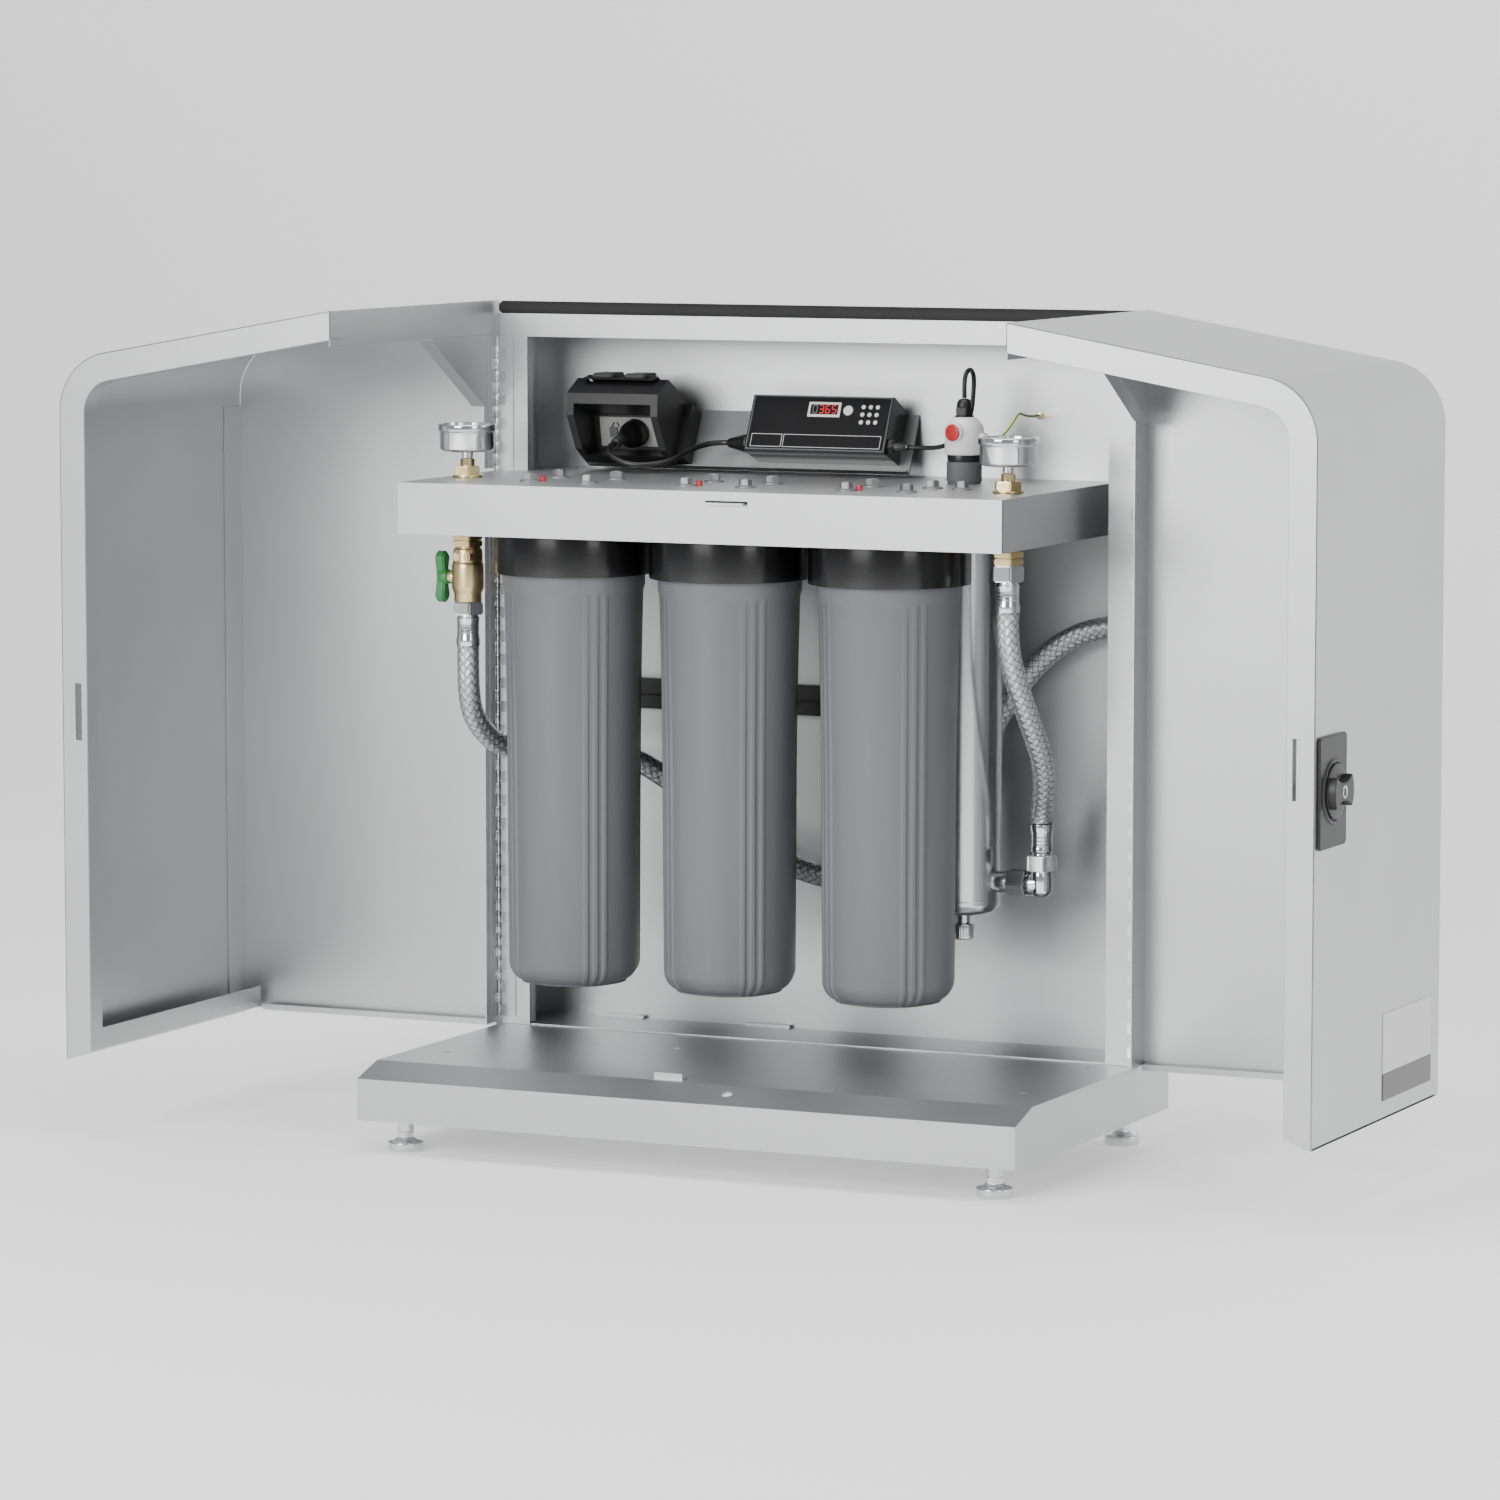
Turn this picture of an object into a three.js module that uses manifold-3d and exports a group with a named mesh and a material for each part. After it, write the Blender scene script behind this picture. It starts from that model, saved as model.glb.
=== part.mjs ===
// Floor-standing water treatment cabinet: three large filter housings in a row, then an
// ultraviolet steriliser, on a folded steel base, inside two clamshell doors that stand open.
// Millimetres, +Z up, the front faces -Y. While the parts are made, Y = 0 is the front edge of
// the base tray and Z = 0 is the floor; the last lines move the origin to the footprint's middle.

import * as THREE from 'three';
import { mergeVertices } from 'three/addons/utils/BufferGeometryUtils.js';
import Module from 'manifold-3d';

const wasm = await Module();
wasm.setup();

const GAP = 0.3;
const SHEET = 1.5;
const DEGREE = Math.PI / 180;

// Base tray and feet
const TRAY_OVERHANG = 2;
const TRAY_DEPTH = 466;
const TRAY_FRONT = 48;
const TRAY_HEIGHT = 63;
const CHAMFER = 49;
const TRAY_SHEET = 2;
const FOOT_HEIGHT = 38;
const FOOT_RADIUS = 20.6;
const FOOT_INSET = 41;
const STUD_RADIUS = 5;

// Back box and the frame at its mouth
const CABINET_WIDTH = 808;
const CABINET_HEIGHT = 846;
const FRAME_Y = 363;
const BACK_DEPTH = 98;
const STILE = 36;
const RAIL = 27;
const STILE_RETURN = 14;

// Doors, drawn standing open at a right angle
const HINGE_OUT = 3;
const HINGE_AHEAD = 2;
const DOOR_DEPTH = 356;
const DOOR_SET = 15;
const DOOR_CLEARANCE = -9.6;
const DOOR_RISE = 15.5;
const ROOF_SLOPE = Math.tan(10 * DEGREE);
const ROOF_RADIUS = 70;
const MEETING_GAP = 2;
const STRIP = 32;
const LIP = 28;
const HINGE_FLANGE = 43;
const REAR_FLANGE = 40;
const SILL_DEPTH = 30;
const SILL_RISE = 10;
const SILL_LIP = 25;
const SLOT_LENGTH = 66;
const SLOT_WIDTH = 8.5;
const SLOT_INSET = 16.5;
const SLOT_ABOVE_LATCH = 26;
const GUSSET_RUN = 136;
const GUSSET_DROP = 83;
const GUSSET_FLANGE = 17;
const SIDE_RISE = 6;
const FLANGE_RISE = 2;
const FOOT_FOLD = 12;

// Piano hinge
const KNUCKLES = 8;
const KNUCKLE_RADIUS = 2.5;
const KNUCKLE_BORE = 1.5;
const PIN_RADIUS = 1.2;
const LEAF = 1.5;
const LEAF_WIDTH = 18;

// Latch on the right door
const LATCH_HEIGHT = 433;
const LATCH_PLATE_WIDTH = 84;
const LATCH_PLATE_HEIGHT = 120;
const LATCH_PLATE = 4;
const LATCH_INSET = 48;
const KNOB_RADIUS = 36;
const KNOB_THICKNESS = 12;
const KEY_RADIUS = 7;
const ROD_RADIUS = 4;
const ROD_INSET = 46;
const ROD_DEPTH = 23;
const ROD_TIP = 10;

// Manifold bracket
const BRACKET_Y = 102;
const BRACKET_LEFT = -403;
const BRACKET_RIGHT = 345;
const BRACKET_FACE = 59;
const SHELF_Z = 762;
const BRACKET_SHEET = 2;

// Filter housings
const HOUSINGS = 3;
const HOUSING_PITCH = 198.4;
const HOUSING_X = -237;
const HOUSING_Y = 220;
const RING_RADIUS = 92;
const RING_BOTTOM = 656;
const SUMP_TOP_RADIUS = 82.5;
const SUMP_FOOT_RADIUS = 74.5;
const SUMP_BOTTOM = 180;
const SUMP_WALL = 6;
const SUMP_ENTRY = 30;
const PORT_RADIUS = 26;
const PORT_Z = 722;
const BORE_RADIUS = 16;
const NIPPLE_RADIUS = 20;
const BUTTON_RADIUS = 3.5;
const BUTTON_RISE = 6;
const CARTRIDGE_RADIUS = 57;

// Inlet and outlet risers, gauges and hoses
const INLET_X = -374;
const OUTLET_X = 304;
const PIPE_RADIUS = 13;
const HOSE_RADIUS = 12.8;
const FERRULE_RADIUS = 14;
const NUT_FLATS = 35;
const VALVE_LENGTH = 64;
const GAUGE_RADIUS = 32;
const GAUGE_RIM_RADIUS = 34;
const GAUGE_SHELL = 1.2;

// Ultraviolet chamber
const UV_X = 194;
const UV_Y = 355;
const UV_RADIUS = 44.5;
const UV_BOTTOM = 268;
const UV_TOP = 745;
const UV_WALL = 2;
const UV_PORT_Z = 306;
const UV_OUTLET_Z = 690;
const ELBOW_X = 291;
const SLEEVE_RADIUS = 11.5;
const LAMP_RADIUS = 7.5;
const COLLAR_RADIUS = 20.3;
const CAP_RADIUS = 22.4;

// Electrical console
const CONSOLE_TILT = 25 * DEGREE;
const CONSOLE_LEFT = -318;
const CONSOLE_RIGHT = 94;
const CONSOLE_HEIGHT = 76;
const CONSOLE_Z = 765;
const BALLAST_RIGHT = 79.5;
const BALLAST_WIDTH = 178.5;
const BALLAST_HEIGHT = 71;
const BALLAST_DEPTH = 45;
const BALLAST_LEAD_Y = -36;
const BALLAST_LEAD_Z = 20;
const OUTLET_WIDTH = 118;
const OUTLET_BACK = 28;

// Places worked out from the sizes above
const trayTop = FOOT_HEIGHT + TRAY_HEIGHT;
const trayHalf = CABINET_WIDTH / 2 + TRAY_OVERHANG;
const cabinetTop = trayTop + CABINET_HEIGHT;
const backY = FRAME_Y + BACK_DEPTH;
const hingeX = CABINET_WIDTH / 2 + HINGE_OUT;
const hingeY = FRAME_Y - HINGE_AHEAD;
const doorFaceX = hingeX + DOOR_DEPTH;
const doorFrontY = hingeY - hingeX + MEETING_GAP / 2;
const doorBackY = hingeY + DOOR_SET;
const doorBottom = trayTop + DOOR_CLEARANCE;
const doorTop = cabinetTop + DOOR_RISE;
const flangeX = hingeX + 3;
const sideY = doorBackY - SHEET - GAP;
const pivotZ = FOOT_HEIGHT + LATCH_HEIGHT;
const housingXs = Array.from({ length: HOUSINGS }, (_, i) => HOUSING_X + i * HOUSING_PITCH);
const ringTop = SHELF_Z - BRACKET_SHEET - GAP;
const shelfUnder = SHELF_Z - BRACKET_SHEET;
const hingeBottom = trayTop + 10;
const knucklePitch = (doorTop - REAR_FLANGE - 4 - hingeBottom) / KNUCKLES;

// Finishes
const steel = { color: 0xc3c5c7, metalness: 1, roughness: 0.35 };
const darkSteel = { color: 0x8f9294, metalness: 1, roughness: 0.45 };
const chrome = { color: 0xe4e6e8, metalness: 1, roughness: 0.12 };
const brass = { color: 0xcfae62, metalness: 1, roughness: 0.28 };
const braid = { color: 0xa6a8aa, metalness: 0.9, roughness: 0.45 };
const blackPlastic = { color: 0x141415, metalness: 0, roughness: 0.3 };
const greyPlastic = { color: 0x6f7276, metalness: 0, roughness: 0.42 };
const darkPlastic = { color: 0x2c2d2f, metalness: 0, roughness: 0.5 };
const whitePlastic = { color: 0xf2f2f0, metalness: 0, roughness: 0.35 };
const redPlastic = { color: 0xb3141e, metalness: 0, roughness: 0.3 };
const greenPlastic = { color: 0x2c7d38, metalness: 0, roughness: 0.45 };
const glass = { color: 0xdfe8ea, metalness: 0, roughness: 0.05 };
const filterCloth = { color: 0xe9e6dc, metalness: 0, roughness: 0.9 };
const cableSheath = { color: 0x101011, metalness: 0, roughness: 0.45 };

const unit = new THREE.Group();

// A closed solid from a three.js geometry, ready to be cut or joined
function solid(geometry) {
  geometry.deleteAttribute('normal');
  geometry.deleteAttribute('uv');
  const merged = mergeVertices(geometry, 1e-4);
  return new wasm.Manifold(new wasm.Mesh({
    numProp: 3,
    vertProperties: new Float32Array(merged.attributes.position.array),
    triVerts: new Uint32Array(merged.index.array),
  }));
}

function join(...solids) {
  return solids.reduce((whole, piece) => whole.add(piece));
}

function part(name, shape, finish, parent = unit) {
  const mesh = shape.getMesh();
  const geometry = new THREE.BufferGeometry();
  geometry.setAttribute('position', new THREE.BufferAttribute(mesh.vertProperties, 3));
  geometry.setIndex(new THREE.BufferAttribute(mesh.triVerts, 1));
  geometry.computeVertexNormals();
  const object = new THREE.Mesh(geometry, new THREE.MeshStandardMaterial(finish));
  object.name = name;
  parent.add(object);
  return object;
}

// A block between two corners
function block(x0, y0, z0, x1, y1, z1) {
  const geometry = new THREE.BoxGeometry(x1 - x0, y1 - y0, z1 - z0);
  geometry.translate((x0 + x1) / 2, (y0 + y1) / 2, (z0 + z1) / 2);
  return solid(geometry);
}

function outline(points, holes = []) {
  const shape = new THREE.Shape(points.map(([u, v]) => new THREE.Vector2(u, v)));
  holes.forEach((hole) => {
    shape.holes.push(new THREE.Path(hole.map(([u, v]) => new THREE.Vector2(u, v))));
  });
  return shape;
}

function extruded(points, depth, holes) {
  return new THREE.ExtrudeGeometry(outline(points, holes), { depth, bevelEnabled: false });
}

// An outline of (x, y) points raised from z0 to z1
function alongZ(points, z0, z1, holes) {
  return solid(extruded(points, z1 - z0, holes).translate(0, 0, z0));
}

// An outline of (x, z) points carried from y0 to y1
function alongY(points, y0, y1, holes) {
  return solid(extruded(points, y1 - y0, holes).rotateX(Math.PI / 2).translate(0, y1, 0));
}

// An outline of (y, z) points carried from x0 to x1
function alongX(points, x0, x1, holes) {
  const turn = new THREE.Matrix4().makeBasis(
    new THREE.Vector3(0, 1, 0), new THREE.Vector3(0, 0, 1), new THREE.Vector3(1, 0, 0));
  return solid(extruded(points, x1 - x0, holes).applyMatrix4(turn).translate(x0, 0, 0));
}

function circle(radius, sides, cu = 0, cv = 0, start = 0) {
  return Array.from({ length: sides }, (_, i) => {
    const angle = start + i * 2 * Math.PI / sides;
    return [cu + radius * Math.cos(angle), cv + radius * Math.sin(angle)];
  });
}

function rod(x, y, radius, z0, z1, sides = 14) {
  return alongZ(circle(radius, sides, x, y), z0, z1);
}

function rodX(y, z, radius, x0, x1, sides = 14) {
  return alongX(circle(radius, sides, y, z), x0, x1);
}

function rodY(x, z, radius, y0, y1, sides = 14) {
  return alongY(circle(radius, sides, x, z), y0, y1);
}

// A hexagon measured across its flats
function hexRod(x, y, flats, z0, z1) {
  return rod(x, y, flats / Math.sqrt(3), z0, z1, 6);
}

// A turned piece standing at (x, y), from its (radius, height) profile
function turned(x, y, profile, sides = 18) {
  const points = profile.map(([r, z]) => new THREE.Vector2(r, z));
  if (THREE.ShapeUtils.area(points) < 0) points.reverse();
  const closed = points[0].x === 0 ? points : [...points, points[0].clone()];
  return solid(new THREE.LatheGeometry(closed, sides).rotateX(Math.PI / 2).translate(x, y, 0));
}

// The path shifted sideways to its right by a distance, with mitred corners
function shifted(path, distance) {
  return path.map((point, i) => {
    const before = path[Math.max(i - 1, 0)];
    const after = path[Math.min(i + 1, path.length - 1)];
    const into = new THREE.Vector2(point[0] - before[0], point[1] - before[1]);
    const out = new THREE.Vector2(after[0] - point[0], after[1] - point[1]);
    if (into.length() === 0) into.copy(out);
    if (out.length() === 0) out.copy(into);
    const a = new THREE.Vector2(into.y, -into.x).normalize();
    const b = new THREE.Vector2(out.y, -out.x).normalize();
    const miter = a.add(b).normalize();
    const reach = distance / miter.dot(b);
    return [point[0] + miter.x * reach, point[1] + miter.y * reach];
  });
}

// A folded sheet's section: the path and the same path shifted to its right
function band(path, near, far) {
  return [...shifted(path, near), ...shifted(path, far).reverse()];
}

function arcPoints(cu, cv, radius, from, to, steps) {
  return Array.from({ length: steps + 1 }, (_, i) => {
    const angle = from + (to - from) * i / steps;
    return [cu + radius * Math.cos(angle), cv + radius * Math.sin(angle)];
  });
}

// A round tube along a smooth route through the given points
function hose(route, radius, steps, sides = 10) {
  const curve = new THREE.CatmullRomCurve3(route.map((p) => new THREE.Vector3(...p)));
  const section = outline(circle(radius, sides));
  return solid(new THREE.ExtrudeGeometry(section, { steps, extrudePath: curve, bevelEnabled: false }));
}

function baseTray() {
  const half = trayHalf;
  const front = FOOT_HEIGHT + TRAY_FRONT;
  const section = [[0, FOOT_HEIGHT], [TRAY_DEPTH, FOOT_HEIGHT], [TRAY_DEPTH, trayTop],
    [CHAMFER, trayTop], [0, front]];
  const inside = [[TRAY_SHEET, FOOT_HEIGHT - 1], [TRAY_DEPTH - TRAY_SHEET, FOOT_HEIGHT - 1],
    [TRAY_DEPTH - TRAY_SHEET, trayTop - TRAY_SHEET], [CHAMFER, trayTop - TRAY_SHEET],
    [TRAY_SHEET, front - TRAY_SHEET]];
  let tray = alongX(section, -half, half)
    .subtract(alongX(inside, -half + TRAY_SHEET, half - TRAY_SHEET));
  [-1, 1].forEach((side) => {
    [FOOT_INSET, TRAY_DEPTH - FOOT_INSET].forEach((y) => {
      const x = side * (half - FOOT_INSET);
      const reach = FOOT_INSET - 1;
      tray = tray
        .add(block(x - reach, y - reach, FOOT_HEIGHT, x + reach, y + reach, FOOT_HEIGHT + 3))
        .subtract(rod(x, y, STUD_RADIUS + GAP, FOOT_HEIGHT - 1, FOOT_HEIGHT + 4, 12));
    });
  });
  const anchors = [[-360, 134], [-358, 341], [360, 134], [358, 341],
    [-229, 261], [-131, 271], [-229, 390], [-131, 391]];
  anchors.forEach(([x, y]) => {
    tray = tray.subtract(rod(x, y, 4.5, trayTop - 5, trayTop + 1, 10));
  });
  const tab = block(-58, 59, trayTop - 1, -23, 61, trayTop + 7)
    .add(block(-58, 59, trayTop - 1, -23, 74, trayTop + 1));
  const rodHole = rod(rodClosed[0], rodClosed[1], ROD_RADIUS + 2.5, front - 20, trayTop + 5, 12);
  return tray.add(tab).subtract(rodHole);
}

function foot(x, y) {
  const pad = turned(x, y, [[0, 0], [FOOT_RADIUS - 1, 0], [FOOT_RADIUS, 1.5], [FOOT_RADIUS, 11],
    [11, 15], [0, 15]], 16);
  const nuts = hexRod(x, y, 17, 14.5, 22).add(hexRod(x, y, 17, 22.5, FOOT_HEIGHT - GAP));
  const stud = rod(x, y, STUD_RADIUS, 12, FOOT_HEIGHT + 12, 12);
  return join(pad, nuts, stud);
}

function backBox() {
  const half = CABINET_WIDTH / 2;
  const bottom = trayTop + GAP;
  const front = FRAME_Y + SHEET + GAP;
  const shell = block(-half, front, bottom, half, backY + SHEET, cabinetTop)
    .subtract(block(-half + SHEET, front - 1, bottom + SHEET, half - SHEET, backY,
      cabinetTop - SHEET));
  const spigotHole = rodY(UV_X, UV_OUTLET_Z, 19, backY - 5, backY + 5, 20);
  const supplyHole = rodX(supplyY, supplyZ, 15, half - 5, half + 5, 20);
  return shell.subtract(spigotHole).subtract(supplyHole);
}

function doorFrame() {
  const half = CABINET_WIDTH / 2;
  const inner = half - STILE;
  const bottom = trayTop + GAP;
  const face = alongY([[-half, bottom], [-inner, bottom], [-inner, cabinetTop - RAIL],
    [inner, cabinetTop - RAIL], [inner, bottom], [half, bottom], [half, cabinetTop],
    [-half, cabinetTop]], FRAME_Y, FRAME_Y + SHEET);
  const returnBack = FRAME_Y + SHEET + STILE_RETURN;
  let frame = face.add(block(-inner - SHEET, FRAME_Y, cabinetTop - RAIL, inner + SHEET,
    returnBack, cabinetTop - RAIL + SHEET));
  [-1, 1].forEach((side) => {
    const x = side * inner;
    const x1 = side * (inner + SHEET);
    frame = frame.add(block(Math.min(x, x1), FRAME_Y, bottom + 2 * SHEET, Math.max(x, x1),
      returnBack, cabinetTop - RAIL + SHEET));
    frame = frame.add(hingeLeaf(side, 0, frameLeaf));
  });
  return frame;
}

// The frame's leaf lies on the stile, and the door's leaf on the door's hinge flange
function frameLeaf(z0, z1, reach) {
  const tip = reach ? hingeX : hingeX - KNUCKLE_RADIUS - 0.4;
  return block(hingeX - HINGE_OUT - LEAF_WIDTH, FRAME_Y - LEAF, z0, tip, FRAME_Y + 0.2, z1);
}

function doorLeaf(z0, z1, reach) {
  const tip = reach ? hingeY : hingeY - KNUCKLE_RADIUS - 0.4;
  return block(flangeX - LEAF, hingeY - LEAF_WIDTH, z0, flangeX + 0.2, tip, z1);
}

// Every other knuckle of a full-length hinge, with the leaf plate that carries them
function hingeLeaf(side, first, leafPlate) {
  const top = hingeBottom + KNUCKLES * knucklePitch;
  let leaf = leafPlate(hingeBottom, top, false);
  for (let i = first; i < KNUCKLES; i += 2) {
    const z0 = hingeBottom + i * knucklePitch + GAP;
    const z1 = z0 + knucklePitch - 2 * GAP;
    const knuckle = alongZ(circle(KNUCKLE_RADIUS, 8, hingeX, hingeY, Math.PI / 8), z0, z1);
    leaf = leaf.add(leafPlate(z0, z1, true)).add(knuckle);
  }
  leaf = leaf.subtract(rod(hingeX, hingeY, KNUCKLE_BORE, hingeBottom - 1, top + 1, 8));
  return side < 0 ? leaf.mirror([1, 0, 0]) : leaf;
}

function hingePin(side) {
  const top = hingeBottom + KNUCKLES * knucklePitch;
  return rod(side * hingeX, hingeY, PIN_RADIUS, hingeBottom - 1, top + 1, 8);
}

// The door's outer face as an (x, z) path: rear of the roof, round corner, front, slanted sill
function doorPath() {
  const roofAt = (x) => doorTop - (x - flangeX) * ROOF_SLOPE;
  const slope = Math.atan(ROOF_SLOPE);
  const centreX = doorFaceX - ROOF_RADIUS;
  const centreZ = roofAt(centreX + ROOF_RADIUS * Math.sin(slope)) - ROOF_RADIUS * Math.cos(slope);
  const corner = arcPoints(centreX, centreZ, ROOF_RADIUS, Math.PI / 2 - slope, 0, 9);
  return [[flangeX, doorTop], ...corner, [doorFaceX, doorBottom]];
}

function mirrored(shape, side) {
  return side < 0 ? shape.mirror([1, 0, 0]) : shape;
}

// One skin holds the front, the rounded corner and the roof, with its folded edges
function doorSkin(side) {
  const path = doorPath();
  const sillEnd = [doorFaceX - SILL_DEPTH, doorBottom + SILL_RISE];
  const rear = [flangeX, doorTop - REAR_FLANGE];
  const skin = alongY(band([rear, ...path], 0, SHEET), doorFrontY, sideY);
  const sill = alongY(band([[doorFaceX, doorBottom + 3], [doorFaceX, doorBottom], sillEnd,
    [sillEnd[0], sillEnd[1] + SILL_LIP]], 0, SHEET), doorFrontY + SHEET, sideY - 12);
  const stripPath = band(path, 0, STRIP);
  stripPath[path.length] = sillPoint(STRIP);
  const strip = alongY(stripPath, doorFrontY, doorFrontY + SHEET);
  const lipPath = band(path, STRIP - SHEET, STRIP);
  lipPath[path.length] = sillPoint(STRIP);
  lipPath[path.length - 1] = sillPoint(STRIP - SHEET);
  const lip = alongY(lipPath, doorFrontY, doorFrontY + LIP);
  const slotX = doorFaceX - SLOT_INSET - SLOT_WIDTH;
  const slotZ = pivotZ + SLOT_ABOVE_LATCH;
  const slot = block(slotX, doorFrontY - 1, slotZ - SLOT_LENGTH / 2, slotX + SLOT_WIDTH,
    doorFrontY + SHEET + 1, slotZ + SLOT_LENGTH / 2);
  const mitre = block(hingeX - 20, doorFrontY - 1, doorTop - 2 * STRIP, flangeX,
    doorFrontY + LIP + 1, doorTop);
  let shell = join(skin, sill, strip, lip).subtract(slot).subtract(mitre);
  if (side > 0) {
    const keep = ROD_RADIUS + 1;
    shell = shell
      .subtract(rod(rodX0, rodY0, keep, doorBottom - 5, doorBottom + 25, 10))
      .subtract(rodX(latchY, pivotZ, 9, doorFaceX - 5, doorFaceX + 1, 12));
  }
  return mirrored(shell, side);
}

// A point on the slanted sill, at a distance in from the door's face
function sillPoint(inset) {
  return [doorFaceX - inset, doorBottom + SILL_RISE * inset / SILL_DEPTH];
}

// The side panel with its lap, hinge flange, corner gusset and hinge leaf. The left door's
// flange is notched where the manifold bracket reaches the frame.
function doorSide(side) {
  const inner = shifted(doorPath(), SHEET + GAP);
  const bottomX = inner[inner.length - 1][0];
  const bottom = doorBottom + SIDE_RISE;
  const rim = [[flangeX, bottom], [flangeX, inner[0][1] - 1], ...inner.slice(1, -1), [bottomX, bottom]];
  const panel = alongY(rim, sideY, doorBackY);
  const flangeTop = doorTop - REAR_FLANGE - GAP;
  const flange = block(flangeX, doorBackY - HINGE_FLANGE, trayTop + FLANGE_RISE, flangeX + SHEET,
    doorBackY, flangeTop);
  const lap = block(bottomX - SHEET, doorBackY - HINGE_FLANGE, doorBottom + 14, bottomX,
    doorBackY, doorTop - DOOR_DEPTH * ROOF_SLOPE - ROOF_RADIUS);
  const footEnd = doorFaceX - SILL_DEPTH - 3;
  const footY = sideY - FOOT_FOLD;
  const foot = block(flangeX + SHEET + 1, footY, bottom, footEnd, doorBackY, bottom + SHEET)
    .add(block(flangeX + SHEET + 1, footY, bottom, footEnd, footY + SHEET, bottom + 7));
  const web0 = doorBackY - HINGE_FLANGE + 2;
  const web = alongX([[web0 - GUSSET_RUN, flangeTop], [web0, flangeTop - GUSSET_DROP],
    [web0, flangeTop]], flangeX, flangeX + SHEET);
  const edge = alongX([[web0 - GUSSET_RUN, flangeTop], [web0 - GUSSET_RUN, flangeTop - SHEET],
    [web0, flangeTop - GUSSET_DROP - SHEET], [web0, flangeTop - GUSSET_DROP]],
    flangeX, flangeX + GUSSET_FLANGE);
  let whole = join(panel, flange, lap, foot, web, edge, hingeLeaf(1, 1, doorLeaf));
  if (side < 0) {
    whole = whole.subtract(block(hingeX, hingeY - 60, SHELF_Z - BRACKET_FACE - 3, flangeX + 5,
      hingeY - 3.5, SHELF_Z + 2.5));
  }
  return mirrored(whole, side);
}

// Places on the right door
const latchY = doorFrontY + LATCH_INSET;
const rodX0 = doorFaceX - ROD_DEPTH;
const rodY0 = doorFrontY + ROD_INSET;
const rodClosed = [hingeX + rodY0 - hingeY, hingeY - (rodX0 - hingeX)];
const supplyY = 425;
const supplyZ = 598;

function latchPlate() {
  const half = LATCH_PLATE_WIDTH / 2;
  const tall = LATCH_PLATE_HEIGHT / 2;
  const corner = 4;
  const x0 = doorFaceX + GAP;
  const face = alongX([[latchY - half + corner, pivotZ - tall], [latchY + half - corner, pivotZ - tall],
    [latchY + half, pivotZ - tall + corner], [latchY + half, pivotZ + tall - corner],
    [latchY + half - corner, pivotZ + tall], [latchY - half + corner, pivotZ + tall],
    [latchY - half, pivotZ + tall - corner], [latchY - half, pivotZ - tall + corner]],
    x0, x0 + LATCH_PLATE);
  const bore = rodX(latchY, pivotZ, 8, x0 - 1, x0 + LATCH_PLATE + 1, 16);
  return face.subtract(bore);
}

// A round grip with two finger scoops, its spindle through the door, and the crank inside
function latchKnob() {
  const x0 = doorFaceX + LATCH_PLATE + 3 * GAP;
  const disc = rodX(latchY, pivotZ, KNOB_RADIUS * 0.86, x0, x0 + KNOB_THICKNESS, 28);
  const scoop = (side) => rodX(latchY, pivotZ + side * KNOB_RADIUS, KNOB_RADIUS * 0.58,
    x0 + 3, x0 + KNOB_THICKNESS + 1, 18);
  const keyhole = rodX(latchY, pivotZ, KEY_RADIUS + GAP, x0 + 4, x0 + KNOB_THICKNESS + 1, 14);
  const inside = doorFaceX - ROD_DEPTH + ROD_RADIUS + 1;
  const spindle = rodX(latchY, pivotZ, 6, inside, x0 + 1, 12);
  const crank = block(inside, latchY - 8, pivotZ - 4, inside + 3, latchY + 16, pivotZ + 4);
  return disc.subtract(scoop(1)).subtract(scoop(-1)).subtract(keyhole).add(spindle).add(crank);
}

function keyCylinder() {
  const x0 = doorFaceX + LATCH_PLATE + 3 * GAP;
  const barrel = rodX(latchY, pivotZ, KEY_RADIUS, x0 + 4 + GAP, x0 + KNOB_THICKNESS + 0.6, 14);
  return barrel.subtract(block(x0 + KNOB_THICKNESS - 3, latchY - 0.9, pivotZ - 4,
    x0 + KNOB_THICKNESS + 1, latchY + 0.9, pivotZ + 4));
}

function latchRod() {
  const tip = doorBottom - ROD_TIP;
  return turned(rodX0, rodY0, [[0, tip], [1.2, tip], [ROD_RADIUS, tip + 8],
    [ROD_RADIUS, pivotZ - 10], [0, pivotZ - 10]], 12);
}

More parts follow.
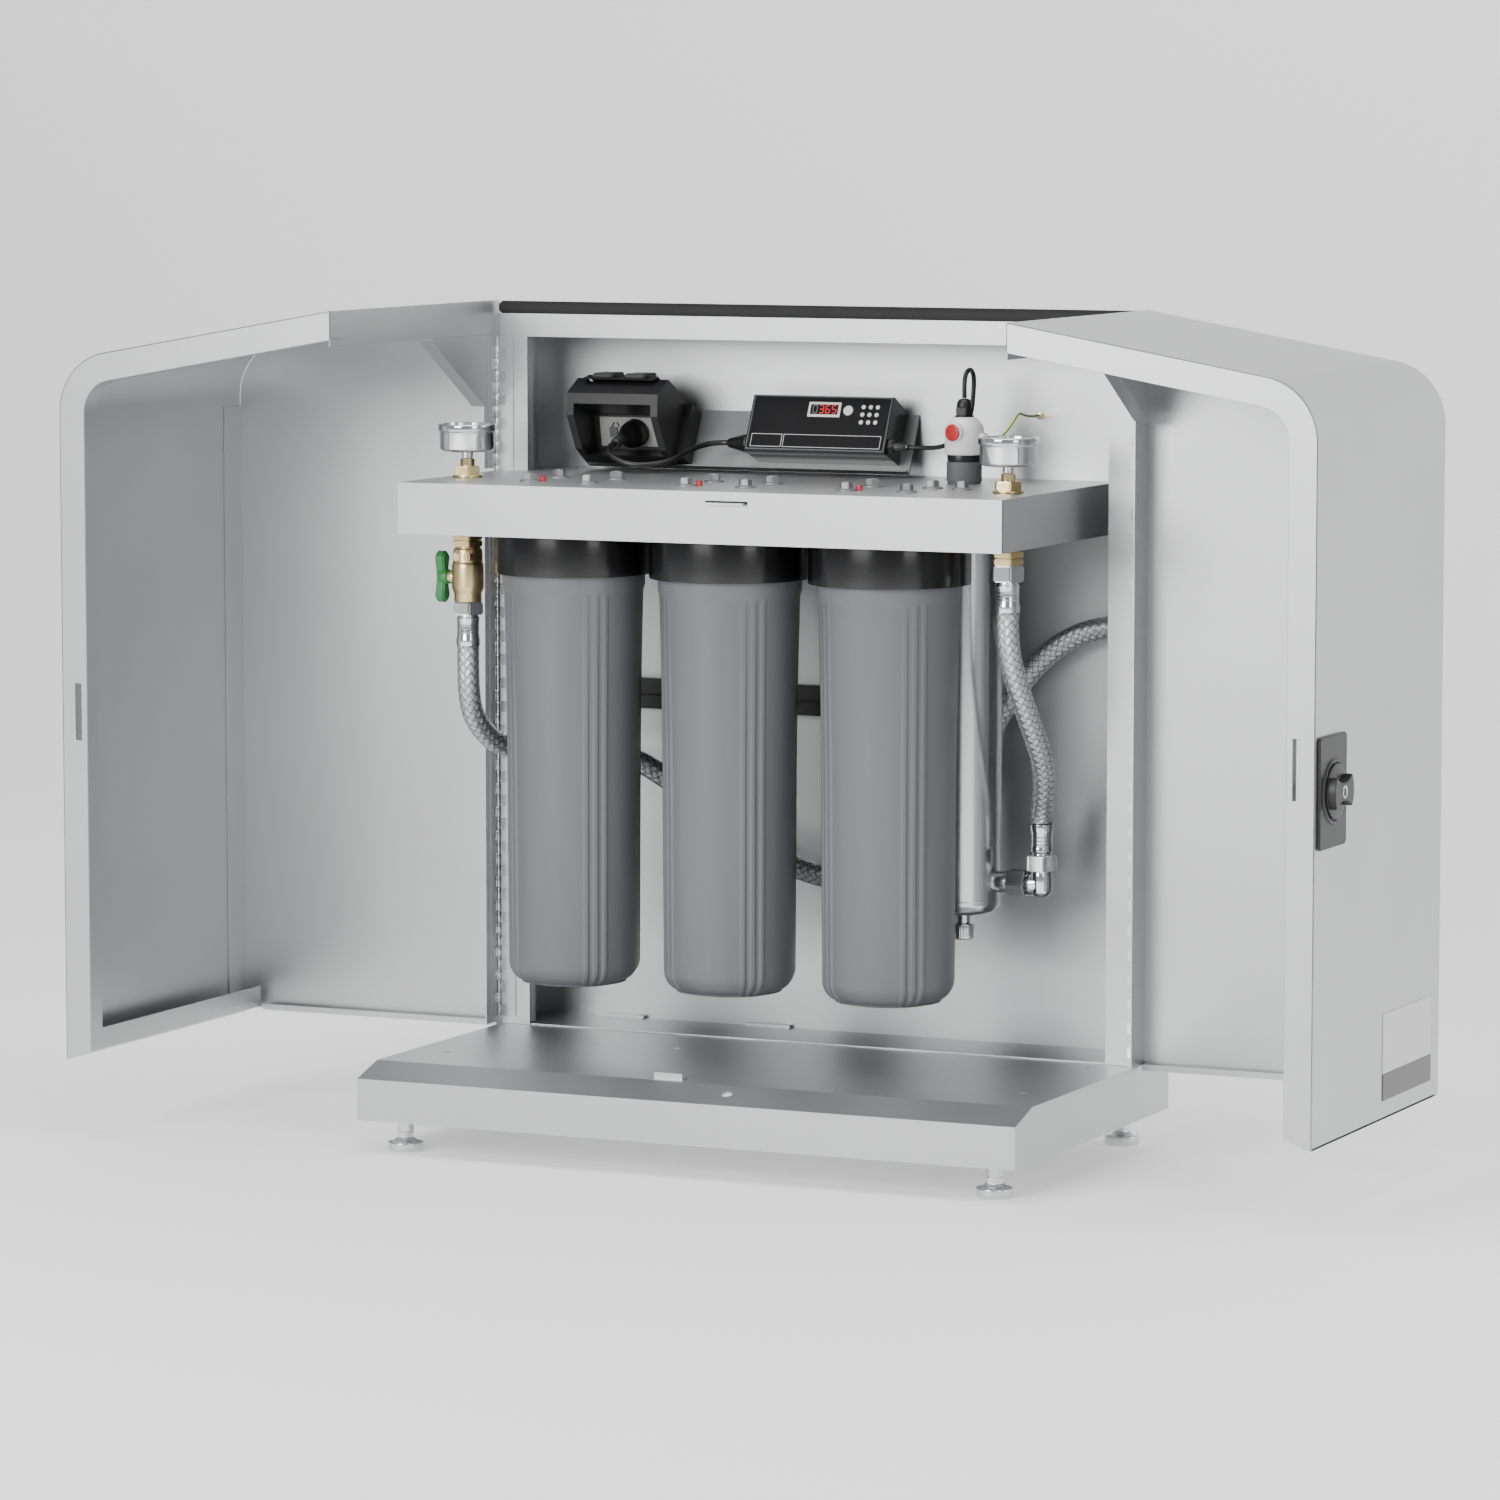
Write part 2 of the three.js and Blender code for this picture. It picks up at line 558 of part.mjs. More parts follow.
// Folded shelf that carries the heads, with a deep face and an open corner slit
function manifoldBracket() {
  const back = backY - GAP;
  const bottom = SHELF_Z - BRACKET_FACE;
  const t = BRACKET_SHEET;
  const left = BRACKET_LEFT;
  const right = BRACKET_RIGHT;
  const stileInner = -(CABINET_WIDTH / 2 - STILE) + 1;
  const shelf = block(left, BRACKET_Y, shelfUnder, right, FRAME_Y - GAP - LEAF, SHELF_Z)
    .add(block(stileInner, BRACKET_Y, shelfUnder, right, back, SHELF_Z));
  const face = block(left, BRACKET_Y, bottom, right, BRACKET_Y + t, SHELF_Z);
  const leftEnd = block(left, BRACKET_Y + 3, bottom, left + t, FRAME_Y - GAP - LEAF, SHELF_Z);
  const rightEnd = block(right - t, BRACKET_Y + 4, bottom, right, back, SHELF_Z);
  const slit = block(right - 2 * t, BRACKET_Y + t, bottom - 1, right + 1, BRACKET_Y + t + 2,
    shelfUnder);
  const ledge = block(-12, BRACKET_Y - 9, SHELF_Z - 14, 36, BRACKET_Y + 1, SHELF_Z - 12);
  let bracket = join(shelf, face, leftEnd, rightEnd).subtract(slit).add(ledge);
  housingXs.forEach((x) => {
    bracket = bracket.subtract(rod(x + BUTTON_OFF[0], HOUSING_Y + BUTTON_OFF[1],
      BUTTON_RADIUS + 1, shelfUnder - 1, SHELF_Z + 1, 10));
  });
  [INLET_X, OUTLET_X].forEach((x) => {
    bracket = bracket.subtract(rod(x, HOUSING_Y, PIPE_RADIUS + 1, shelfUnder - 1, SHELF_Z + 1, 16));
  });
  return bracket.subtract(rod(UV_X, UV_Y, COLLAR_RADIUS - 3 + GAP, shelfUnder - 1, SHELF_Z + 1, 18));
}

const BUTTON_OFF = [-24, -30];

// Housing head: threaded skirt, domed cap, mounting pad and two side ports
function housingHead(x, last) {
  const skirt = SUMP_TOP_RADIUS + 2.5;
  const body = turned(x, HOUSING_Y, [[0, ringTop], [56, ringTop], [58, 742], [78, 726],
    [RING_RADIUS - 4, 708], [RING_RADIUS, 702], [RING_RADIUS, RING_BOTTOM], [skirt, RING_BOTTOM],
    [skirt, RING_BOTTOM + SUMP_ENTRY + 3], [0, RING_BOTTOM + SUMP_ENTRY + 3]], 24);
  const nippleEnd = HOUSING_PITCH - RING_RADIUS - GAP - 2;
  const left = rodX(HOUSING_Y, PORT_Z, PORT_RADIUS, x - RING_RADIUS - 2, x, 12);
  const right = rodX(HOUSING_Y, PORT_Z, PORT_RADIUS, x, x + RING_RADIUS + 2, 12);
  const nipple = rodX(HOUSING_Y, PORT_Z, NIPPLE_RADIUS, x, x + nippleEnd, 10);
  const bore = rodX(HOUSING_Y, PORT_Z, BORE_RADIUS, x - 40, x + HOUSING_PITCH, 8)
    .add(rodX(HOUSING_Y, PORT_Z, BORE_RADIUS, x - HOUSING_PITCH, x - 60, 8))
    .add(rod(x - 70, HOUSING_Y, 8, RING_BOTTOM + 10, PORT_Z, 8))
    .add(rod(x, HOUSING_Y, 10, RING_BOTTOM + 10, PORT_Z, 8));
  const buttonBore = rod(x + BUTTON_OFF[0], HOUSING_Y + BUTTON_OFF[1], BUTTON_RADIUS + 1,
    ringTop - 10, ringTop + 1, 10);
  let head = join(body, left, right);
  if (!last) head = head.add(nipple);
  return head.subtract(bore).subtract(buttonBore);
}

function reliefButton(x) {
  return rod(x + BUTTON_OFF[0], HOUSING_Y + BUTTON_OFF[1], BUTTON_RADIUS, ringTop - 6,
    SHELF_Z + BUTTON_RISE, 10);
}

function sump(x) {
  const top = RING_BOTTOM - GAP;
  const b = SUMP_BOTTOM;
  const foot = SUMP_FOOT_RADIUS;
  const neck = SUMP_TOP_RADIUS + 1;
  const rim = RING_BOTTOM + SUMP_ENTRY;
  const bore = SUMP_TOP_RADIUS - SUMP_WALL;
  return turned(x, HOUSING_Y, [[0, b], [foot - 24, b], [foot - 8, b + 5], [foot - 1, b + 16],
    [foot, b + 28], [SUMP_TOP_RADIUS, top - 12], [SUMP_TOP_RADIUS, top], [neck, top + 2],
    [neck, rim], [bore, rim], [bore, top - 12], [foot - SUMP_WALL, b + 30],
    [foot - 16, b + 8], [0, b + 8]], 24);
}

function cartridge(x) {
  const z0 = SUMP_BOTTOM + 8 + GAP;
  return turned(x, HOUSING_Y, [[14, z0], [CARTRIDGE_RADIUS, z0],
    [CARTRIDGE_RADIUS, RING_BOTTOM + SUMP_ENTRY + 2], [14, RING_BOTTOM + SUMP_ENTRY + 2]], 16);
}

// Brass cross under each gauge: gauge boss above the shelf, side port, outlet below
function riserTee(x, toward) {
  const headX = toward > 0 ? housingXs[0] - RING_RADIUS - 2 - GAP
    : housingXs[HOUSINGS - 1] + RING_RADIUS + 2 + GAP;
  const past = headX + toward;
  const low = SHELF_Z - 80;
  const upright = rod(x, HOUSING_Y, PIPE_RADIUS, low, SHELF_Z + 5, 18);
  const nut = hexRod(x, HOUSING_Y, NUT_FLATS - 3, low, low + 7)
    .add(hexRod(x, HOUSING_Y, NUT_FLATS - 3, low + 8, low + 15))
    .add(rod(x, HOUSING_Y, 17.5, SHELF_Z + GAP, SHELF_Z + 3, 18))
    .add(hexRod(x, HOUSING_Y, 28, SHELF_Z + 3, SHELF_Z + 13))
    .add(hexRod(x, HOUSING_Y, 15, SHELF_Z + 13, SHELF_Z + 22));
  const arm = rodX(HOUSING_Y, PORT_Z, PIPE_RADIUS + 4, Math.min(x, headX), Math.max(x, headX), 16);
  const bore = rod(x, HOUSING_Y, PIPE_RADIUS - 4, low - 1, SHELF_Z - 10, 10)
    .add(rodX(HOUSING_Y, PORT_Z, PIPE_RADIUS - 3, Math.min(x, past), Math.max(x, past), 10));
  return join(upright, nut, arm).subtract(bore);
}

// Gauge lying on its back: the dial faces up
function gaugeCase(x) {
  const z0 = SHELF_Z + 22 + GAP;
  const body = turned(x, HOUSING_Y, [[0, z0], [5, z0], [5, z0 + 8], [GAUGE_RADIUS - 2, z0 + 8],
    [GAUGE_RADIUS, z0 + 10], [GAUGE_RADIUS, z0 + 32], [GAUGE_RIM_RADIUS, z0 + 32],
    [GAUGE_RIM_RADIUS, z0 + 40], [GAUGE_RIM_RADIUS - 4, z0 + 40], [GAUGE_RIM_RADIUS - 4, z0 + 34],
    [0, z0 + 34]], 24);
  return body.add(rod(x, HOUSING_Y, GAUGE_SHELL, z0 + 33, z0 + 37, 8));
}

function gaugeNeedle(x) {
  const z = SHELF_Z + 22 + GAP + 35;
  const blade = alongZ([[x - 2, HOUSING_Y + 7], [x - 0.7, HOUSING_Y - 24], [x + 0.7, HOUSING_Y - 24],
    [x + 2, HOUSING_Y + 7]], z, z + 1);
  const hub = rod(x, HOUSING_Y, 4, z, z + 2, 12);
  return blade.add(hub).subtract(rod(x, HOUSING_Y, GAUGE_SHELL + GAP, z - 1, z + 3, 8));
}

// Union nut and ball valve body with the stem's boss on its left
function valveBody() {
  const top = SHELF_Z - 80 - GAP;
  const y = HOUSING_Y;
  const body = turned(INLET_X, y, [[8, top], [15, top], [15, top - 2], [17, top - 3], [17, top - 19],
    [18.7, top - 24], [18.7, top - 56], [16, top - 60], [16, top - VALVE_LENGTH],
    [8, top - VALVE_LENGTH]], 20);
  const boss = rodX(y, top - 36, 8, INLET_X - 24, INLET_X - 15, 14);
  const bore = rod(INLET_X, y, 8, top - VALVE_LENGTH - 1, top + 1, 12)
    .add(rodX(y, top - 36, 3 + GAP, INLET_X - 30, INLET_X, 10));
  return body.add(boss).subtract(bore);
}

// Butterfly handle on its stem, wings along the pipe while the valve is open
function valveHandle() {
  const z = SHELF_Z - 80 - GAP - 36;
  const y = HOUSING_Y;
  const x1 = INLET_X - 24 - GAP;
  const x0 = x1 - 15;
  const wing = (s) => alongX([[y - 4, z + s * 5], [y - 7, z + s * 14], [y - 9, z + s * 30],
    [y + 9, z + s * 30], [y + 7, z + s * 14], [y + 4, z + s * 5]], x0, x1 - 3);
  const hub = rodX(y, z, 9, x0 + 4, x1, 14);
  const stem = rodX(y, z, 3, x0 + 1, INLET_X - 9, 10);
  return join(hub, wing(1), wing(-1), stem);
}

// Steel nut and crimped ferrule at the top of a hose that hangs from (x, y)
function hoseEndDown(x, y, top, nutHeight, ferruleLength) {
  const nut = hexRod(x, y, NUT_FLATS - 1, top - nutHeight, top);
  const f0 = top - nutHeight;
  const ferrule = turned(x, y, [[0, f0 + 1], [12, f0 + 1], [12, f0 - 2], [FERRULE_RADIUS, f0 - 4],
    [12.8, f0 - 7], [12.8, f0 - ferruleLength + 10], [FERRULE_RADIUS, f0 - ferruleLength + 7],
    [FERRULE_RADIUS, f0 - ferruleLength], [0, f0 - ferruleLength]], 18);
  return nut.add(ferrule);
}

function hoseEndUp(x, y, bottom, nutHeight, ferruleLength) {
  return hoseEndDown(x, y, -bottom, nutHeight, ferruleLength).mirror([0, 0, 1]);
}

const inletHoseTop = SHELF_Z - 80 - 2 * GAP - VALVE_LENGTH;
const inletFerrule = inletHoseTop - 15 - 36;
const outletNutTop = SHELF_Z - 80 - GAP;
const outletFerrule = outletNutTop - 19 - 34;
const lowNutBottom = UV_PORT_Z + 15 + GAP;
const lowFerrule = lowNutBottom + 19 + 35;

// Chosen hose routes: out of each ferrule, down in a free curve, and into the next fitting
const supplyRoute = [
  [INLET_X, HOUSING_Y, inletFerrule - GAP], [INLET_X, HOUSING_Y, 538], [-375, 224, 511],
  [-376, 234, 488], [-374, 252, 467], [-369, 275, 450], [-359, 300, 441], [-344, 325, 437],
  [-323, 345, 437], [-296, 361, 436], [-264, 374, 431], [-234, 384, 421], [-209, 389, 407],
  [-180, 394, 389], [-144, 400, 363], [-102, 403, 335], [-60, 405, 311], [-18, 407, 296],
  [24, 409, 291], [64, 411, 299], [100, 413, 321], [132, 415, 355], [160, 417, 397],
  [186, 419, 444], [211, 421, 489], [238, 423, 529], [270, 425, 563], [308, 425, 587],
  [346, 425, 597], [364, 425, supplyZ], [378, 425, supplyZ],
];
const linkRoute = [
  [OUTLET_X, HOUSING_Y, outletFerrule - GAP], [OUTLET_X, HOUSING_Y, 612], [304.5, 223, 588],
  [306, 232, 561], [309, 247, 533], [311, 265, 506], [312, 285, 480], [311, 306, 454],
  [306.5, 323, 432], [300, 338, 412], [294, 349.5, 397], [ELBOW_X, UV_Y, 385],
  [ELBOW_X, UV_Y, lowFerrule + GAP],
];

// Hose tail, nut and bulkhead through the side of the back box
function supplyFitting() {
  const half = CABINET_WIDTH / 2;
  const x0 = 378 + GAP;
  return join(rodX(supplyY, supplyZ, FERRULE_RADIUS, x0, x0 + 14, 16),
    rodX(supplyY, supplyZ, 17, x0 + 13, half - SHEET - GAP, 6),
    rodX(supplyY, supplyZ, 12, x0 + 14, half + 1.8, 16));
}

// Steriliser chamber with its side inlet, rear outlet, drain boss and neck
function uvChamber() {
  const r = UV_RADIUS;
  const bottom = UV_BOTTOM;
  const neck = COLLAR_RADIUS - 3;
  const shell = turned(UV_X, UV_Y, [[0, bottom - 12], [9, bottom - 12], [9, bottom], [r - 10, bottom],
    [r - 3, bottom + 3], [r, bottom + 9], [r, UV_TOP - 9], [r - 3, UV_TOP - 3], [r - 10, UV_TOP],
    [neck, UV_TOP], [neck, SHELF_Z + 10], [0, SHELF_Z + 10]]);
  const bore = turned(UV_X, UV_Y, [[0, bottom + 3], [r - 12, bottom + 3], [r - UV_WALL, bottom + 10],
    [r - UV_WALL, UV_TOP - 10], [r - 12, UV_TOP - 3], [0, UV_TOP - 3]], 16);
  const portEnd = ELBOW_X - 17;
  const port = rodX(UV_Y, UV_PORT_Z, 12.5, UV_X + 30, portEnd, 16)
    .add(rodX(UV_Y, UV_PORT_Z, 15, portEnd - 22, portEnd, 6));
  const portBore = rodX(UV_Y, UV_PORT_Z, 9, UV_X + 20, portEnd + 1, 12);
  const spigotEnd = backY + SHEET + 2;
  const spigot = rodY(UV_X, UV_OUTLET_Z, 14, UV_Y + 30, spigotEnd, 16);
  const spigotBore = rodY(UV_X, UV_OUTLET_Z, 10, UV_Y + 20, spigotEnd + 1, 12);
  const lampBore = rod(UV_X, UV_Y, SLEEVE_RADIUS + GAP, UV_TOP - 10, SHELF_Z + 11, 16);
  return join(shell, port, spigot)
    .subtract(bore).subtract(portBore).subtract(spigotBore).subtract(lampBore);
}

function quartzSleeve() {
  const z0 = UV_BOTTOM + 8;
  const z1 = SHELF_Z + 26;
  return turned(UV_X, UV_Y, [[0, z0], [SLEEVE_RADIUS, z0], [SLEEVE_RADIUS, z1],
    [SLEEVE_RADIUS - 1.5, z1], [SLEEVE_RADIUS - 1.5, z0 + 1.5], [0, z0 + 1.5]], 16);
}

function uvLamp() {
  return rod(UV_X, UV_Y, LAMP_RADIUS, UV_BOTTOM + 12, SHELF_Z + 30, 12);
}

// Knurled gland nut over the chamber's neck
function glandNut() {
  const inner = SLEEVE_RADIUS + GAP;
  const neck = COLLAR_RADIUS - 3 + GAP;
  const z0 = SHELF_Z + GAP;
  return turned(UV_X, UV_Y, [[neck, z0], [COLLAR_RADIUS - 1, z0], [COLLAR_RADIUS - 1, z0 + 9],
    [COLLAR_RADIUS, z0 + 10], [COLLAR_RADIUS, z0 + 25], [inner, z0 + 25], [inner, SHELF_Z + 11],
    [neck, SHELF_Z + 11]]);
}

// White lamp connector with its black base ring and cable gland
function lampCap() {
  const z0 = SHELF_Z + 26;
  const r = CAP_RADIUS;
  const body = turned(UV_X, UV_Y, [[LAMP_RADIUS + 1, z0], [r - 3, z0], [r - 3, z0 + 7], [r, z0 + 7],
    [r, z0 + 38], [r - 9, z0 + 50], [10.5, z0 + 50], [10.5, z0 + 54], [9, z0 + 55], [9, z0 + 68],
    [7, z0 + 71], [0, z0 + 71], [0, z0 + 34], [LAMP_RADIUS + 1, z0 + 34]], 18);
  const lug = block(UV_X + r - 4, UV_Y - 7, z0 + 16, UV_X + r + 5, UV_Y + 7, z0 + 32);
  return body.add(lug);
}

function drainCap() {
  const z = UV_BOTTOM - 12;
  return turned(UV_X, UV_Y, [[0, z - GAP - 18], [12.3, z - GAP - 18], [13.3, z - GAP - 17],
    [13.3, z - GAP - 1], [12.3, z - GAP], [0, z - GAP]], 20);
}

function uvElbow() {
  const upright = rod(ELBOW_X, UV_Y, 13, UV_PORT_Z - 14, UV_PORT_Z + 15, 16);
  const arm = rodX(UV_Y, UV_PORT_Z, 14, ELBOW_X - 17 + GAP, ELBOW_X, 16);
  const bore = rod(ELBOW_X, UV_Y, 8, UV_PORT_Z - 8, UV_PORT_Z + 16, 10)
    .add(rodX(UV_Y, UV_PORT_Z, 8, ELBOW_X - 20, ELBOW_X, 10));
  return join(upright, arm).subtract(bore);
}

// The console leans back: its own Y runs into the cabinet and its own Z up the plate
const consoleGroup = new THREE.Group();
consoleGroup.position.set(0, backY - GAP - CONSOLE_HEIGHT * Math.sin(CONSOLE_TILT), CONSOLE_Z);
consoleGroup.rotation.x = -CONSOLE_TILT;
unit.add(consoleGroup);

function consolePlate() {
  const plate = block(CONSOLE_LEFT, -2, 0, CONSOLE_RIGHT, 0, CONSOLE_HEIGHT - 2);
  const ledge = block(CONSOLE_LEFT, -10, 0, CONSOLE_RIGHT, 0, 2);
  return plate.add(ledge);
}

function ballastCase() {
  const x0 = BALLAST_RIGHT - BALLAST_WIDTH;
  const front = -2 - GAP - BALLAST_DEPTH;
  const z0 = 7;
  const body = alongX([[front + 2, z0], [-2 - GAP, z0 + 3], [-2 - GAP, z0 + BALLAST_HEIGHT - 3],
    [front + 2, z0 + BALLAST_HEIGHT], [front, z0 + BALLAST_HEIGHT - 1], [front, z0 + 1]],
    x0, BALLAST_RIGHT);
  const well = rodY(ballastButtonX, ballastButtonZ, 6 + GAP, front - 1, front + 5, 14);
  const sleeve = turned(0, 0, [[0, -1], [11, -1], [5, 26], [0, 26]], 12).rotate([0, -90, 0])
    .translate([x0, BALLAST_LEAD_Y, BALLAST_LEAD_Z]);
  const gland = turned(0, 0, [[0, -1], [8, -1], [8, 7], [6.5, 8], [4, 23.5], [0, 23.5]], 12)
    .rotate([0, 90, 0]).translate([BALLAST_RIGHT, BALLAST_LEAD_Y, BALLAST_LEAD_Z]);
  return join(body.subtract(well), sleeve, gland);
}

const ballastButtonX = BALLAST_RIGHT - 54.5;
const ballastButtonZ = 59;

function ballastButton() {
  const front = -2 - GAP - BALLAST_DEPTH;
  return rodY(ballastButtonX, ballastButtonZ, 6, front - 1.6, front + 2.4, 14);
}

const outletX0 = CONSOLE_LEFT + 7;
const outletX1 = outletX0 + OUTLET_WIDTH;
const plugX = outletX1 - 54;
const plugY = -36.4;
const plugZ = 30;
const plugDip = 35;

// Weatherproof socket box: mounting base, deep hood, and a recess whose face leans forward
function outletBox() {
  const back = -2 - GAP;
  const base = block(outletX0 + 10, back - OUTLET_BACK, 4, outletX1 + 8, back, 70);
  const hood = alongX([[-24, -5], [-58, -1], [-97, 26], [-107, 50], [-87, 77], [-53, 76], [-24, 68]],
    outletX0, outletX1);
  const recess = alongX([[-125, 35], [-48, 47], [-24, 13], [-62, -17]], outletX0 + 9, outletX1 - 9);
  const seat = alongX([[-100, 70], [-92, 78], [-70, 78], [-70, 75]], outletX0 + 13, outletX1 - 13);
  const pocket = atSocket(block(-35, -1, -7, -23, 4, 7));
  return base.add(hood).subtract(recess).subtract(seat).subtract(pocket).subtract(plugPins(2.4));
}

// Pins of the plug, or the larger holes that take them
function plugPins(radius) {
  return atSocket(rodY(-6, -5, radius, -2, 8, 8).add(rodY(6, -5, radius, -2, 8, 8))
    .add(rodY(0, 8, radius, -2, 8, 8)));
}

// Moves a piece made square to the front onto the socket's sloping face
function atSocket(shape) {
  return shape.rotate([plugDip, 0, 0]).translate([plugX, plugY, plugZ]);
}

// Lid along the hood's brow, on a hinge line at the top
function outletFlap() {
  const x0 = outletX0 + 14;
  const x1 = outletX1 - 14;
  const slope = [[-99.7, 70.3], [-87.3, 79.1], [-60, 77.4], [-60, 79], [-88, 80.8], [-101, 71.3]];
  return alongX(slope, x0, x1);
}

function outletSwitch() {
  return atSocket(block(-34, -2.5, -6, -24, 2, 6));
}

// Round-bodied plug pushed into the socket, its cable sleeve pointing forward
function mainsPlug() {
  const body = turned(0, 0, [[0, GAP], [16, GAP], [17, 4], [16, 16], [8, 32], [6.5, 36], [6.5, 60],
    [0, 60]], 18).rotate([90, 0, 0]);
  return atSocket(body).add(plugPins(1.9));
}

const ballastLeft = BALLAST_RIGHT - BALLAST_WIDTH;
const mainsRoute = [
  [plugX, backY - 112.1, 797], [plugX, backY - 123, 795], [plugX + 2.5, backY - 133, 791],
  [plugX + 9, backY - 141.5, 786], [plugX + 20, backY - 146.5, 781], [plugX + 34, backY - 148, 777],
  [plugX + 49, backY - 145.5, 775.5], [plugX + 63, backY - 139, 776.5],
  [plugX + 74, backY - 128.5, 779], [plugX + 81, backY - 115.5, 783],
  [plugX + 85, backY - 101.5, 787.5], [plugX + 89, backY - 87.5, 791.5],
  [ballastLeft - 53.5, backY - 73.5, 795], [ballastLeft - 45, backY - 62.5, 797.5],
  [ballastLeft - 34, backY - 57.4, 798.3], [ballastLeft - 26.6, backY - 56.6, 798.3],
];
const lampRoute = [
  [BALLAST_RIGHT + 23.8, backY - 56.6, 798.3], [BALLAST_RIGHT + 34.5, backY - 57, 798.3],
  [127, 402.5, 798.5], [141, 400, 799.5],
  [154, 397, 803], [166, 394, 809.5], [177, 390.5, 819], [185, 388, 831.5], [190, 386.5, 846],
  [192, 385.5, 861], [193, 385, 876], [193.6, 382.1, 884.8], [UV_X, UV_Y + 19.6, 890.3],
  [UV_X, UV_Y + 10.4, 890.3], [UV_X, UV_Y + 2.9, 884.8], [UV_X, UV_Y, 876], [UV_X, UV_Y, 859.5],
];

part('base_tray', baseTray(), steel);
['left', 'right'].forEach((hand, i) => {
  const side = i ? 1 : -1;
  const x = side * (trayHalf - FOOT_INSET);
  part(`foot_front_${hand}`, foot(x, FOOT_INSET), darkSteel);
  part(`foot_rear_${hand}`, foot(x, TRAY_DEPTH - FOOT_INSET), darkSteel);
});
part('back_box', backBox(), steel);
part('door_frame', doorFrame(), steel);
part('manifold_bracket', manifoldBracket(), steel);

['left', 'right'].forEach((hand, i) => {
  const side = i ? 1 : -1;
  part(`${hand}_hinge_pin`, hingePin(side), steel);
  part(`${hand}_door_skin`, doorSkin(side), steel);
  part(`${hand}_door_side`, doorSide(side), steel);
});
part('latch_plate', latchPlate(), darkPlastic);
part('latch_knob', latchKnob(), darkPlastic);
part('key_cylinder', keyCylinder(), chrome);
part('latch_rod', latchRod(), steel);

housingXs.forEach((x, i) => {
  const number = i + 1;
  part(`housing_head_${number}`, housingHead(x, i === HOUSINGS - 1), blackPlastic);
  part(`relief_button_${number}`, reliefButton(x), redPlastic);
  part(`housing_sump_${number}`, sump(x), greyPlastic);
  part(`filter_cartridge_${number}`, cartridge(x), filterCloth);
});

part('inlet_tee', riserTee(INLET_X, 1), brass);
part('outlet_tee', riserTee(OUTLET_X, -1), brass);
[INLET_X, OUTLET_X].forEach((x, i) => {
  const name = i ? 'outlet' : 'inlet';
  part(`${name}_gauge_case`, gaugeCase(x), chrome);
  part(`${name}_gauge_needle`, gaugeNeedle(x), blackPlastic);
});
part('valve_body', valveBody(), brass);
part('valve_handle', valveHandle(), greenPlastic);
part('inlet_hose_end', hoseEndDown(INLET_X, HOUSING_Y, inletHoseTop, 15, 36), chrome);
part('supply_hose', hose(supplyRoute, HOSE_RADIUS, 30, 9), braid);
part('supply_fitting', supplyFitting(), brass);
part('outlet_hose_end', hoseEndDown(OUTLET_X, HOUSING_Y, outletNutTop, 19, 34), chrome);
part('link_hose', hose(linkRoute, HOSE_RADIUS, 16, 9), braid);
part('link_hose_low_end', hoseEndUp(ELBOW_X, UV_Y, lowNutBottom, 19, 35), chrome);
part('uv_elbow', uvElbow(), brass);

part('uv_chamber', uvChamber(), steel);
part('quartz_sleeve', quartzSleeve(), glass);
part('uv_lamp', uvLamp(), glass);
part('uv_gland_nut', glandNut(), darkPlastic);
part('lamp_cap', lampCap(), whitePlastic);
part('drain_cap', drainCap(), chrome);

part('console_plate', consolePlate(), darkSteel, consoleGroup);
part('ballast_case', ballastCase(), blackPlastic, consoleGroup);
part('ballast_button', ballastButton(), whitePlastic, consoleGroup);
part('socket_box', outletBox(), darkPlastic, consoleGroup);
part('socket_flap', outletFlap(), darkPlastic, consoleGroup);
part('socket_switch', outletSwitch(), greyPlastic, consoleGroup);
part('mains_plug', mainsPlug(), blackPlastic, consoleGroup);
part('mains_cable', hose(mainsRoute, 3.2, 30, 8), cableSheath);
part('lamp_cable', hose(lampRoute, 2.7, 34, 8), cableSheath);

unit.position.set(0, -(doorFrontY + TRAY_DEPTH) / 2, 0);

export default unit;
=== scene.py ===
"""Looks for a floor-standing water filter and ultraviolet steriliser cabinet.

Shapes are made in millimetres, with Y = 0 at the front edge of the base tray and Z = 0 at the
floor, and are moved into the model's own frame, in metres, when they become pieces.
"""

import math

import bmesh
import bpy
from bpy.props import FloatProperty, FloatVectorProperty, IntProperty, PointerProperty
from mathutils import Matrix, Vector


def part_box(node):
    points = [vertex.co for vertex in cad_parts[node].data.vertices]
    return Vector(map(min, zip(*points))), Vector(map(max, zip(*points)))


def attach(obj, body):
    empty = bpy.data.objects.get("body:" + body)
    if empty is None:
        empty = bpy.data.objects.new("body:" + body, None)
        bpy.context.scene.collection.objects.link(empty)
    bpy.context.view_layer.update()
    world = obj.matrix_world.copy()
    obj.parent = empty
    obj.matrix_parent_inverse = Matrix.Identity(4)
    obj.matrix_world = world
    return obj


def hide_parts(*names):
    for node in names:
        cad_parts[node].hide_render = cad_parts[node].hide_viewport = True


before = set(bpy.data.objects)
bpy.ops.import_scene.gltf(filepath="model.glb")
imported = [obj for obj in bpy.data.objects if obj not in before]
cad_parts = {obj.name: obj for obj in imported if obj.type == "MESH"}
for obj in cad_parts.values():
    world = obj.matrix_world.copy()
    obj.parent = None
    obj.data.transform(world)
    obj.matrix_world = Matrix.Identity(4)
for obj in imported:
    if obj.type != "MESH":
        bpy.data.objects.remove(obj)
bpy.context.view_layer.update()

bl_info = {
    "name": "Filter Cabinet",
    "version": (1, 0, 0),
    "blender": (4, 5, 0),
    "location": "View3D > Sidebar > Filter Cabinet",
    "description": "Builds the finishes and fine pieces of a water filter cabinet",
    "category": "Object",
}

MM = 0.001
TRAY_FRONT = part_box("base_tray")[0].y


